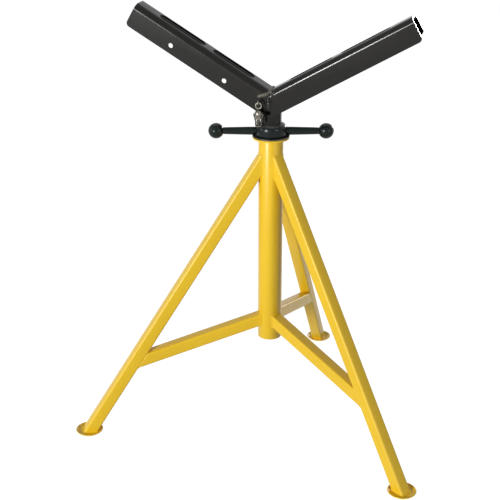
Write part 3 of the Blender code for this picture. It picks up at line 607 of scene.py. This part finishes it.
# Column with eased ends, its collar and the weld under the collar
def build_column():
    ease, rounding = COLUMN_EASE, COLLAR_ROUNDING
    profile = arc(COLUMN_R - ease, COLUMN_TOP - ease, ease, 90, 0, 2)
    profile += arc(COLUMN_R - ease, COLUMN_FOOT + ease, ease, 0, -90, 2)
    profile += arc(COLUMN_BORE + ease, COLUMN_FOOT + ease, ease, 270, 180, 2)
    profile += arc(COLUMN_BORE + ease, COLUMN_TOP - ease, ease, 180, 90, 2)
    stand_piece(lathe("column_tube_fine", profile, LARGE_SIDES), "column_tube")
    inner = COLUMN_R + GAP
    profile = [(inner, COLLAR_TOP)]
    profile += arc(COLLAR_R - rounding, COLLAR_TOP - rounding, rounding, 90, 0, 6)
    profile += arc(COLLAR_R - rounding, COLLAR_FOOT + rounding, rounding, 0, -90, 6)
    profile += [(inner, COLLAR_FOOT)]
    stand_piece(lathe("column_collar_fine", profile, LARGE_SIDES), "column_collar")
    path = circle(Z * (COLLAR_FOOT - GAP), COLUMN_R, X, Y, LARGE_SIDES)
    stand_piece(weld("collar_weld", path, COLLAR_WELD, seed=1.0))


# Thrust ring between the column's top and the nut
def build_ring():
    ease = RING_EASE
    profile = [(COLUMN_BORE, RING_TOP)] + arc(RING_R - ease, RING_TOP - ease, ease, 90, 0, 4)
    profile += arc(RING_R - ease, RING_FOOT + ease, ease, 0, -90, 4) + [(COLUMN_BORE, RING_FOOT)]
    dress(lathe("thrust_washer_fine", profile, LARGE_SIDES), oiled, "washer", "steel", "thrust_washer")


def rounded_square(width, radius, steps=8):
    half = width / 2 - radius
    points = []
    for cx, cy, start in ((half, half, 0), (-half, half, 90), (-half, -half, 180), (half, -half, 270)):
        points += arc(cx, cy, radius, start, start + 90, steps)
    return points


def meets_plane(point, direction, at, normal):
    return (at - point).dot(normal) / direction.dot(normal)


def meets_column(point, direction, radius):
    a = direction.x**2 + direction.y**2
    b = 2 * (point.x * direction.x + point.y * direction.y)
    c = point.x**2 + point.y**2 - radius**2
    return (-b - math.sqrt(max(0.0, b * b - 4 * a * c))) / (2 * a)


# Square tube whose ends each follow the surface they meet. Returns the outlines of its two ends.
def square_tube(node, start, direction, across, low_end, high_end):
    upright = direction.cross(across).normalized()
    outer = rounded_square(TUBE, TUBE_CORNER)
    inner = rounded_square(TUBE - 2 * TUBE_WALL, TUBE_CORNER - TUBE_WALL)
    verts, loops, count = [], [], len(outer)
    for outline in (outer, inner):
        bases = [start + across * x + upright * y for x, y in outline]
        lows = [p + direction * low_end(p) for p in bases]
        highs = [p + direction * high_end(p) for p in bases]
        loops.append((lows, highs))
        verts += lows + highs
    faces = []
    for i in range(count):
        k = (i + 1) % count
        faces.append((i, k, count + k, count + i))
        faces.append((2 * count + k, 2 * count + i, 3 * count + i, 3 * count + k))
        faces.append((i, 2 * count + i, 2 * count + k, k))
        faces.append((count + i, count + k, 3 * count + k, 3 * count + i))
    stand_piece(mesh_object(f"{node}_fine", verts, faces, TUBE_SHARP), node)
    return loops[0]


def build_leg(number, foot, up, across):
    pad_top = Z * (PAD_T + GAP)
    lows, highs = square_tube(
        f"leg_{number}",
        foot,
        up,
        across,
        lambda p: meets_plane(p, up, pad_top, Z),
        lambda p: meets_column(p, up, COLUMN_R + GAP),
    )
    stand_piece(weld(f"leg_{number}_column_weld", highs, LEG_TOP_WELD, seed=number * 3.1))
    lifted = [p + Z * LEG_FOOT_LIFT for p in lows]
    stand_piece(weld(f"leg_{number}_pad_weld", lifted, LEG_FOOT_WELD, seed=number * 5.3))


def build_brace(number, out, foot, up, across):
    on_leg = foot.lerp(Z * LEG_APEX, BRACE_LOW / LEG_APEX)
    on_column = out * COLUMN_R + Z * BRACE_TOP
    run = (on_column - on_leg).normalized()
    normal = up.cross(across).normalized()
    if normal.dot(out) > 0:
        normal.negate()
    face = on_leg + normal * (TUBE / 2 + GAP)
    lows, highs = square_tube(
        f"brace_{number}",
        on_leg,
        run,
        across,
        lambda p: meets_plane(p, run, face, normal),
        lambda p: meets_column(p, run, COLUMN_R + GAP),
    )
    stand_piece(weld(f"brace_{number}_column_weld", highs, BRACE_TOP_WELD, seed=number * 7.7))
    half = TUBE / 2 - TUBE_CORNER * BRACE_CORNER_SHARE
    held = []
    for p in lows:
        side = (p - on_leg).dot(across)
        held.append(p + across * (max(-half, min(half, side)) - side))
    stand_piece(weld(f"brace_{number}_leg_weld", held, BRACE_LOW_WELD, seed=number * 9.9))


# Pressed round pad with an upturned rim
def build_pad(number, foot):
    inset = PAD_BASE - PAD_INSET
    profile = [(0, PAD_T), (inset, PAD_T)]
    profile += arc(inset, PAD_T + PAD_INNER_BEND, PAD_INNER_BEND, -90, -30, 4)
    profile += arc(PAD_RIM - PAD_LIP, PAD_H - PAD_LIP, PAD_LIP, 180, 0, 6)
    profile += arc(PAD_BASE - PAD_OUTER_BEND, PAD_OUTER_BEND, PAD_OUTER_BEND, -35, -90, 4)
    profile += [(0, 0)]
    pad = lathe(f"foot_pad_{number}_fine", profile, PAD_SIDES, False, Matrix.Translation(foot))
    stand_piece(pad, f"foot_pad_{number}")


def build_tripod():
    for number in range(1, LEG_COUNT + 1):
        turn = math.radians(FIRST_LEG + 360 / LEG_COUNT * (number - 1))
        out = X * math.cos(turn) + Y * math.sin(turn)
        across = Y * math.cos(turn) - X * math.sin(turn)
        foot = out * LEG_REACH
        up = (Z * LEG_APEX - foot).normalized()
        build_leg(number, foot, up, across)
        build_brace(number, out, foot, up, across)
        build_pad(number, foot)


# One turn of the thread's outline, each point a share of the lead and of the depth
THREAD_SHARES = (
    (0.0, 0.0),
    (0.26, 0.0),
    (0.31, 0.06),
    (0.42, 0.94),
    (0.46, 1.0),
    (0.86, 1.0),
    (0.90, 0.94),
)


# Thread: ridges on a helix that fade out at both ends
def build_thread():
    per_turn = len(THREAD_SHARES)
    foot, top = JOURNAL_TOP, SOCKET_FOOT - THREAD_GAP
    rows = (math.ceil((top - foot) / LEAD) + 2) * per_turn
    total = rows + per_turn
    verts, faces = [], []
    for j in range(THREAD_SIDES):
        a = math.tau * j / THREAD_SIDES
        for i in range(total):
            place, height = THREAD_SHARES[i % per_turn]
            turn = i // per_turn - 2 + place + j / THREAD_SIDES
            z = min(max(foot + turn * LEAD, foot), top)
            fade = min((z - foot) / LEAD, (top - z) / LEAD, 1.0)
            r = SCREW_ROOT + (SCREW_R - SCREW_ROOT) * height * fade
            verts.append(Vector((r * math.cos(a), r * math.sin(a), z)))
    for j in range(THREAD_SIDES):
        k, shift = (j + 1, 0) if j < THREAD_SIDES - 1 else (0, per_turn)
        for i in range(rows - 1):
            near, far = j * total + i, k * total + i + shift
            faces.append((near, far, far + 1, near + 1))
    screw_piece(mesh_object("jack_screw_thread", verts, faces, THREAD_SHARP), "jack_screw")


# Jack screw: the thread, a plain spigot above it and a journal below
def build_screw():
    build_thread()
    ease = SCREW_EASE
    radius, top, foot = SOCKET_BORE - GAP, SOCKET_TOP - GAP, SOCKET_FOOT - SPIGOT_SINK
    profile = [(0, top)] + arc(radius - ease, top - ease, ease, 90, 0, 3) + [(radius, foot), (0, foot)]
    spigot = lathe("jack_screw_spigot", profile, MEDIUM_SIDES, False)
    cut_pin_hole(spigot)
    screw_piece(spigot, "jack_screw")
    top = JOURNAL_TOP + JOURNAL_LAP
    profile = [(0, top), (JOURNAL_R, top)]
    profile += arc(JOURNAL_R - ease, SCREW_FOOT + ease, ease, 0, -90, 3) + [(0, SCREW_FOOT)]
    screw_piece(lathe("jack_screw_journal", profile, SMALL_SIDES, False), "jack_screw")


# Cast nut: slightly swelled hub with a rounded shoulder and a machined top land
def build_nut():
    profile = [(NUT_BORE, NUT_TOP - NUT_EASE), (NUT_BORE + NUT_EASE, NUT_TOP)]
    profile += [(SOCKET_R + NUT_EASE, NUT_TOP)]
    lean = math.radians(NUT_LEAN)
    middle = NUT_R - NUT_SWELL - (SHOULDER_R - NUT_SWELL) * math.cos(lean)
    height = NUT_TOP - NUT_EASE - SHOULDER_R
    profile += arc(middle, height, SHOULDER_R, 80, NUT_LEAN, 16)
    height += (SHOULDER_R - NUT_SWELL) * math.sin(lean)
    profile += arc(NUT_R - NUT_SWELL, height, NUT_SWELL, NUT_LEAN, 0, 8)[1:]
    profile += [(NUT_R, NUT_FOOT + NUT_WALL_RISE)]
    profile += arc(NUT_R - NUT_FOOT_R, NUT_FOOT + NUT_FOOT_R, NUT_FOOT_R, 0, -90, 6)
    profile += [(PILOT_R, NUT_FOOT), (PILOT_R, PILOT_FOOT), (NUT_BORE, PILOT_FOOT)]
    nut_piece(lathe("jack_nut_fine", profile, LARGE_SIDES), "jack_nut")
    for side, sign in ((1, -1), (2, 1)):
        out = (X * math.cos(HANDLE_TURN) + Y * math.sin(HANDLE_TURN)) * sign
        turn = out.to_track_quat("Z", "Y").to_matrix().to_4x4()
        build_handle_arm(side, Matrix.Translation(Z * HANDLE_Z) @ turn)
        build_ball(side, Matrix.Translation(out * BALL_REACH + Z * HANDLE_Z) @ turn)


# Handle arm, which tapers from the nut and flares a little before it enters the ball
def build_handle_arm(side, place):
    entry = BALL_REACH - math.sqrt(BALL_R**2 - ARM_TIP**2)
    tenon = ARM_TIP - GAP
    profile = [(0, entry + ARM_SINK), (tenon, entry + ARM_SINK), (tenon, entry)]
    profile += [(ARM_TIP, entry - ARM_TIP_EASE), (ARM_TIP + ARM_FLARE, entry - ARM_FLARE_LENGTH)]
    profile += [(ARM_ROOT, ARM_TAPER_START), (ARM_ROOT, ARM_START), (0, ARM_START)]
    arm = lathe(f"handle_arm_{side}_fine", profile, SMALL_SIDES, False, place, ARM_SHARP)
    nut_piece(arm, f"handle_arm_{side}")


# Ball with a small lip round the hole that takes the arm
def build_ball(side, place):
    low = math.degrees(math.acos((ARM_TIP + BALL_LIP) / BALL_R))
    profile = [(0, BALL_R)] + arc(0, 0, BALL_R, 90, -low, 40)[1:]
    r, z = profile[-1]
    bore = ARM_TIP + BALL_FIT
    profile += [(r - BALL_LIP_WIDTH, z - BALL_LIP_DROP), (bore, z + BALL_LIP_SINK)]
    profile += [(bore, z + BALL_BORE), (0, z + BALL_BORE)]
    ball = lathe(f"handle_ball_{side}_fine", profile, MEDIUM_SIDES, False, place)
    nut_piece(ball, f"handle_ball_{side}")


# Socket tube of the V-head and the cap that closes it
def build_socket():
    ease = SOCKET_EASE
    profile = arc(SOCKET_R - ease, SOCKET_TOP - ease, ease, 90, 0, 3)
    profile += arc(SOCKET_R - ease, SOCKET_FOOT + ease, ease, 0, -90, 3)
    profile += [(SOCKET_BORE, SOCKET_FOOT), (SOCKET_BORE, SOCKET_TOP)]
    socket = lathe("head_socket_fine", profile, LARGE_SIDES)
    cut_pin_hole(socket)
    head_piece(socket, "head_socket")
    profile = [(0, CAP_TOP)] + arc(SOCKET_R - ease, CAP_TOP - ease, ease, 90, 0, 3)
    profile += arc(SOCKET_R - ease, CAP_FOOT + ease, ease, 0, -90, 3) + [(0, CAP_FOOT)]
    head_piece(lathe("socket_cap_fine", profile, LARGE_SIDES, False), "socket_cap")
    path = circle(Z * CAP_FOOT, SOCKET_R, X, Y, LARGE_SIDES)
    head_piece(weld("socket_cap_weld", path, CAP_WELD, seed=21.0))


# Directions along an arm, across it and square to its web. The side is 1 for the right arm and
# -1 for the left.
def arm_axes(side):
    along = X * (side * math.cos(RISE)) + Z * math.sin(RISE)
    square = Z * math.cos(RISE) - X * (side * math.sin(RISE))
    return along, Y, square


def arm_place(side, reach, height, depth=0.0):
    along, across, square = arm_axes(side)
    return Z * V_FOOT + along * reach + square * height + across * depth


# Section of the channel: how far back, and how high above the flange's lower edge
def channel_section():
    inner = BEND - V_WALL
    front, back, height = BEND - V_FRONT, V_BACK - BEND, FLANGE - BEND
    points = [(-V_FRONT, 0)]
    points += arc(front, height, BEND, 180, 90, BEND_STEPS)
    points += arc(back, height, BEND, 90, 0, BEND_STEPS)
    points += [(V_BACK, BACK_RISE), (V_BACK - V_WALL, BACK_RISE)]
    points += arc(back, height, inner, 0, 90, BEND_STEPS)
    points += arc(front, height, inner, 90, 180, BEND_STEPS)
    points += [(V_WALL - V_FRONT, 0)]
    return points


def slot_cutters(side):
    along, across, _ = arm_axes(side)
    flat = Matrix((along, across, along.cross(across))).transposed().to_4x4()
    at = Matrix.Translation(arm_place(side, 0, FLANGE, V_MIDDLE)) @ flat
    cutters = []
    for first, last in SLOTS:
        outline = arc(last - SLOT_HALF, 0, SLOT_HALF, -90, 90, 16)
        outline += arc(first + SLOT_HALF, 0, SLOT_HALF, 90, 270, 16)
        cutters.append(prism("cutter", outline, at, -SLOT_CUT, SLOT_CUT))
    return cutters


# Cutters that round off the flanges' outer lower corners
def corner_cutters(side):
    along, _, square = arm_axes(side)
    upright = Matrix((along, square, along.cross(square))).transposed().to_4x4()
    inside, past = V_LENGTH - FLANGE_CORNER, V_LENGTH + CORNER_CUT
    cutters = []
    for edge, depth in ((0, V_WALL / 2 - V_FRONT), (BACK_RISE, V_BACK - V_WALL / 2)):
        above, below = edge + FLANGE_CORNER, edge - CORNER_CUT
        outline = arc(inside, above, FLANGE_CORNER, -90, 0, 10)
        outline += [(past, above), (past, below), (inside, below)]
        at = Matrix.Translation(arm_place(side, 0, 0, depth)) @ upright
        cutters.append(prism("cutter", outline, at, -FLANGE_CUT, FLANGE_CUT))
    return cutters


def hole_cutters(side):
    cutters = []
    for reach in HOLES:
        centre = arm_place(side, reach, HOLE_UP)
        cutters.append(rod_cutter(centre - Y * HOLE_CUT_FRONT, centre - Y * HOLE_CUT_BACK, HOLE_R))
    return cutters


# V arm: channel cut square to the mitre and round the socket. Only the left one has flange holes.
def build_arm(side, name):
    along, across, square = arm_axes(side)
    start = -FLANGE * math.tan(RISE) - END_CUT
    turn = Matrix((across, square, along * side)).transposed().to_4x4()
    place = Matrix.Translation(arm_place(side, 0, 0)) @ turn
    low, high = (start, V_LENGTH) if side > 0 else (-V_LENGTH, -start)
    arm = prism(name + "_fine", channel_section(), place, low, high)
    box = [(-BLOCK, -BLOCK), (BLOCK, -BLOCK), (BLOCK, BLOCK), (-BLOCK, BLOCK)]
    beyond = Matrix.Translation(X * (-side * (BLOCK - GAP / 2)) + Z * BLOCK_Z)
    cutters = [prism("cutter", box, beyond, -BLOCK, BLOCK)]
    cutters.append(rod_cutter(Z * SOCKET_CUT_Z, Z * (CAP_TOP + GAP), SOCKET_R + GAP, LARGE_SIDES))
    cutters += slot_cutters(side) + corner_cutters(side)
    if side < 0:
        cutters += hole_cutters(side)
    cut_with(arm, cutters)
    soften(arm, ARM_EASE)
    head_piece(arm, name)


# Point below the channel's front face, which the bend takes back near the web
def sunk_place(side, reach, height, sink):
    lift = max(0.0, min(1.0, (height - FLANGE + BEND) / BEND))
    level = math.sqrt(1 - lift * lift)
    depth = BEND * (1 - level) - V_FRONT
    return arm_place(side, reach, height - sink * lift, depth + sink * level)


# Points of the channel's section that each bead of the mitre covers. The flange's lower edge comes
# first, then the front bend and the back bend.
FRONT_BEAD, VALLEY_BEAD, BACK_BEAD = slice(1, 9), slice(7, 24), slice(22, 30)
BOTH_BENDS = slice(0, 1 + 2 * (BEND_STEPS + 1))

# Side, reach and height of the bead that runs from the left arm's front into the mitre, and of the
# short one that ends on the right arm
RUN_PLACES = (
    (-1, 0.0500, 0.0320),
    (-1, 0.0450, 0.0380),
    (-1, 0.0400, 0.0435),
    (-1, 0.0360, 0.0490),
    (-1, 0.0310, 0.0532),
    (1, 0.0387, 0.0545),
)
END_PLACES = ((1, 0.0330, 0.0480), (1, 0.0400, 0.0500), (1, 0.0480, 0.0510))


# Weld round the mitre: thin on the flanges, with a fuller bead in the valley between the webs
def build_head_welds():
    section = channel_section()[BOTH_BENDS]
    mitre = [Y * depth + Z * (V_FOOT + height / math.cos(RISE)) for depth, height in section]
    start = Z * (CAP_TOP + MITRE_START)
    path = [start - Y * V_FRONT] + mitre[FRONT_BEAD]
    head_piece(weld("mitre_weld_front", path, MITRE_WELD, seed=31.0, closed=False))
    path = mitre[BACK_BEAD] + [start + Y * V_BACK]
    head_piece(weld("mitre_weld_back", path, MITRE_WELD, seed=33.0, closed=False))
    path = mitre[VALLEY_BEAD]
    # The valley bead and the front run take the lighter weld colour, a painted highlight
    valley = weld("mitre_weld_valley", path, VALLEY_WELD, seed=35.0, closed=False, pitch=COARSE_PITCH)
    dress(valley, painted_weld_highlight, "head", "black_paint")
    path = [sunk_place(side, reach, height, RUN_SINK) for side, reach, height in RUN_PLACES]
    run = weld("mitre_weld_run", path, RUN_WELD, seed=37.0, closed=False, pitch=COARSE_PITCH)
    dress(run, painted_weld_highlight, "head", "black_paint")
    path = [sunk_place(side, reach, height, END_SINK) for side, reach, height in END_PLACES]
    head_piece(weld("mitre_weld_end", path, END_WELD, seed=39.0, closed=False, pitch=COARSE_PITCH))


# Staple that is welded to the left arm's front, and the link that hangs in it
def build_lanyard():
    root = -V_FRONT - GAP - PIN_Y
    front = -(WIRE + GAP + WIRE) - STAPLE_GAP / 2
    corners = [(0, root, 0), (0, front, 0), (0, front, STAPLE_GAP), (0, root, STAPLE_GAP)]
    lift = Vector((PIN_X, PIN_Y, STAPLE_Z))
    path = [p + lift for p in bent(corners, STAPLE_GAP / 2 - GAP, 8)]
    staple = sweep("lanyard_staple_fine", path, WIRE, WIRE_SIDES)
    dress(staple, zinc, "head", "zinc", "lanyard_staple")
    for label, up in (("low", 0.0), ("high", STAPLE_GAP)):
        centre = Vector((PIN_X, -V_FRONT - STAPLE_WELD_LIFT, STAPLE_Z + up))
        path = circle(centre, WIRE + STAPLE_WELD_REACH, X, Z, STAPLE_WELD_SIDES)
        head_piece(weld(f"staple_weld_{label}", path, STAPLE_WELD, seed=41.0 + up, pitch=FINE_PITCH))
    path = circle(Vector((PIN_X, PIN_Y, LINK_Z)), LINK_R, X, Z, LINK_SIDES)
    pin_piece(sweep("lanyard_link_fine", path, WIRE, WIRE_SIDES, True), zinc, "lanyard_link")


# Lock pin that hangs from the link: knob with a short neck, shank, eye and wire bail
def build_lock_pin():
    knob = Vector((PIN_X, PIN_Y, KNOB_Z))
    place, ease = Matrix.Translation(knob), NECK_EASE
    profile = [(0, KNOB_R)] + arc(0, 0, KNOB_R, 90, KNOB_TURN, 28)[1:]
    profile += arc(NECK_R - ease, ease - NECK_DROP, ease, 20, -90, 4) + [(0, -NECK_DROP)]
    pin_piece(lathe("lock_pin_fine", profile, SMALL_SIDES, False, place), zinc, "lock_pin")
    profile = [(0, ease - NECK_DROP), (SHANK_R, ease - NECK_DROP)]
    profile += [(SHANK_R, -SHANK_L + TIP_LENGTH), (SHANK_R - TIP_SHOULDER, -SHANK_L + TIP_EASE)]
    profile += [(SHANK_R - TIP_INSET, -SHANK_L), (0, -SHANK_L)]
    # The shank takes the darker zinc, painted shade
    pin_piece(lathe("lock_pin_shank", profile, SMALL_SIDES, False, place), shaded_zinc, "lock_pin")
    path = circle(Vector((PIN_X, PIN_Y, EYE_Z)), EYE_R, Y, Z, EYE_SIDES)
    pin_piece(sweep("lock_pin_eye", path, EYE_WIRE, THIN_WIRE_SIDES, True), zinc, "lock_pin")
    side = [(KNOB_R - BAIL_SINK, 0, 0), (BAIL_HALF, 0, 0)]
    side += [(BAIL_LOW_HALF, 0, -BAIL_LOW_DROP), (BAIL_LOW_HALF, 0, -BAIL_DROP)]
    other = [(-x, y, z) for x, y, z in reversed(side)]
    path = bent(side[:3], BAIL_TOP_BEND, 6)[:-1]
    path += bent(side[1:] + other[:3], BAIL_BEND, 10)[1:-1]
    path += bent(other[1:], BAIL_TOP_BEND, 6)[1:]
    bail = sweep("pin_bail_fine", [p + knob for p in path], BAIL_WIRE, THIN_WIRE_SIDES)
    # The bail takes the darker zinc too, painted shade
    dress(bail, shaded_zinc, "bail", "zinc", "pin_bail")


build_column()
build_ring()
build_tripod()
build_screw()
build_nut()
build_socket()
build_arm(-1, "left_arm")
build_arm(1, "right_arm")
build_head_welds()
build_lanyard()
build_lock_pin()

for name in ("stop_collar", "stop_pin"):
    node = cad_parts[name]
    node.data.materials.clear()
    node.data.materials.append(steel)


# 1 for a ray from the camera, also one by reflection or through glass, and 0 for any other
def seen_rays(tree):
    path = tree.nodes.new("ShaderNodeLightPath")
    seen = path.outputs["Is Camera Ray"]
    for kind in ("Is Glossy Ray", "Is Transmission Ray"):
        either = tree.nodes.new("ShaderNodeMath")
        either.operation = "MAXIMUM"
        tree.links.new(seen, either.inputs[0])
        tree.links.new(path.outputs[kind], either.inputs[1])
        seen = either.outputs[0]
    return seen


# Floor that looks white and keeps a soft shadow
def make_floor(half, tone, glow_level):
    corners = [(-half, -half, 0), (half, -half, 0), (half, half, 0), (-half, half, 0)]
    mesh = bpy.data.meshes.new("floor")
    mesh.from_pydata(corners, [], [(0, 1, 2, 3)])
    floor = bpy.data.objects.new("floor", mesh)
    bpy.context.scene.collection.objects.link(floor)
    material = bpy.data.materials.new("floor_white")
    material.use_nodes = True
    tree = material.node_tree
    tree.nodes.remove(tree.nodes["Principled BSDF"])
    diffuse = tree.nodes.new("ShaderNodeBsdfDiffuse")
    diffuse.inputs["Color"].default_value = (tone, tone, tone, 1)
    level = tree.nodes.new("ShaderNodeMath")
    level.operation = "MULTIPLY"
    level.inputs[1].default_value = glow_level
    tree.links.new(seen_rays(tree), level.inputs[0])
    glow = tree.nodes.new("ShaderNodeEmission")
    glow.inputs["Color"].default_value = (1, 1, 1, 1)
    tree.links.new(level.outputs[0], glow.inputs["Strength"])
    both = tree.nodes.new("ShaderNodeAddShader")
    tree.links.new(diffuse.outputs[0], both.inputs[0])
    tree.links.new(glow.outputs[0], both.inputs[1])
    tree.links.new(both.outputs[0], tree.nodes["Material Output"].inputs["Surface"])
    floor.data.materials.append(material)


# World that looks white and lights the stand softly
def make_world(light_level):
    world = bpy.data.worlds.new("studio")
    bpy.context.scene.world = world
    world.use_nodes = True
    tree = world.node_tree
    level = tree.nodes.new("ShaderNodeMapRange")
    level.inputs["To Min"].default_value = light_level
    level.inputs["To Max"].default_value = 1.0
    tree.links.new(seen_rays(tree), level.inputs["Value"])
    back = tree.nodes["Background"]
    back.inputs["Color"].default_value = (1, 1, 1, 1)
    tree.links.new(level.outputs["Result"], back.inputs["Strength"])


# Direction from the stand towards an azimuth and elevation in degrees. Azimuth 0 is the front.
def towards(azimuth, elevation):
    turn, lift = math.radians(azimuth), math.radians(elevation)
    return (X * math.sin(turn) - Y * math.cos(turn)) * math.cos(lift) + Z * math.sin(lift)


# Soft lamp round the stand's middle. Its level is the brightness of a white surface that faces it.
def area_light(name, azimuth, elevation, distance, width, height, level, middle=0.65):
    light = bpy.data.lights.new(name, "AREA")
    light.shape = "RECTANGLE"
    light.size = width
    light.size_y = height
    light.energy = level * (math.pi * distance) ** 2
    item = bpy.data.objects.new(name, light)
    direction = towards(azimuth, elevation)
    item.location = Z * middle + direction * distance
    item.rotation_euler = (-direction).to_track_quat("-Z", "Y").to_euler()
    bpy.context.scene.collection.objects.link(item)


# Camera fitted to the photo
def make_camera(place, azimuth, elevation, lens):
    camera = bpy.data.cameras.new("camera")
    camera.sensor_width = 36.0
    camera.lens = lens
    item = bpy.data.objects.new("camera", camera)
    item.location = place
    item.rotation_euler = (-towards(azimuth, elevation)).to_track_quat("-Z", "Y").to_euler()
    bpy.context.scene.collection.objects.link(item)
    bpy.context.scene.camera = item


make_floor(half=40.0, tone=0.42, glow_level=0.90)
make_world(light_level=0.20)
area_light("key", azimuth=-21.6, elevation=8.2, distance=8.0, width=1.15, height=1.05, level=0.84)
area_light("side", azimuth=-62.0, elevation=14.0, distance=3.5, width=0.35, height=0.45, level=0.12)
area_light("fill", azimuth=57.0, elevation=13.0, distance=3.5, width=0.26, height=0.29, level=0.13)
area_light("back", azimuth=162.0, elevation=5.0, distance=6.0, width=0.8, height=0.7, level=0.24)
make_camera(place=(0.6414, -2.4802, 1.5317), azimuth=15.64, elevation=22.42, lens=78.90)
bpy.context.scene.view_settings.view_transform = "Standard"

bpy.context.view_layer.update()
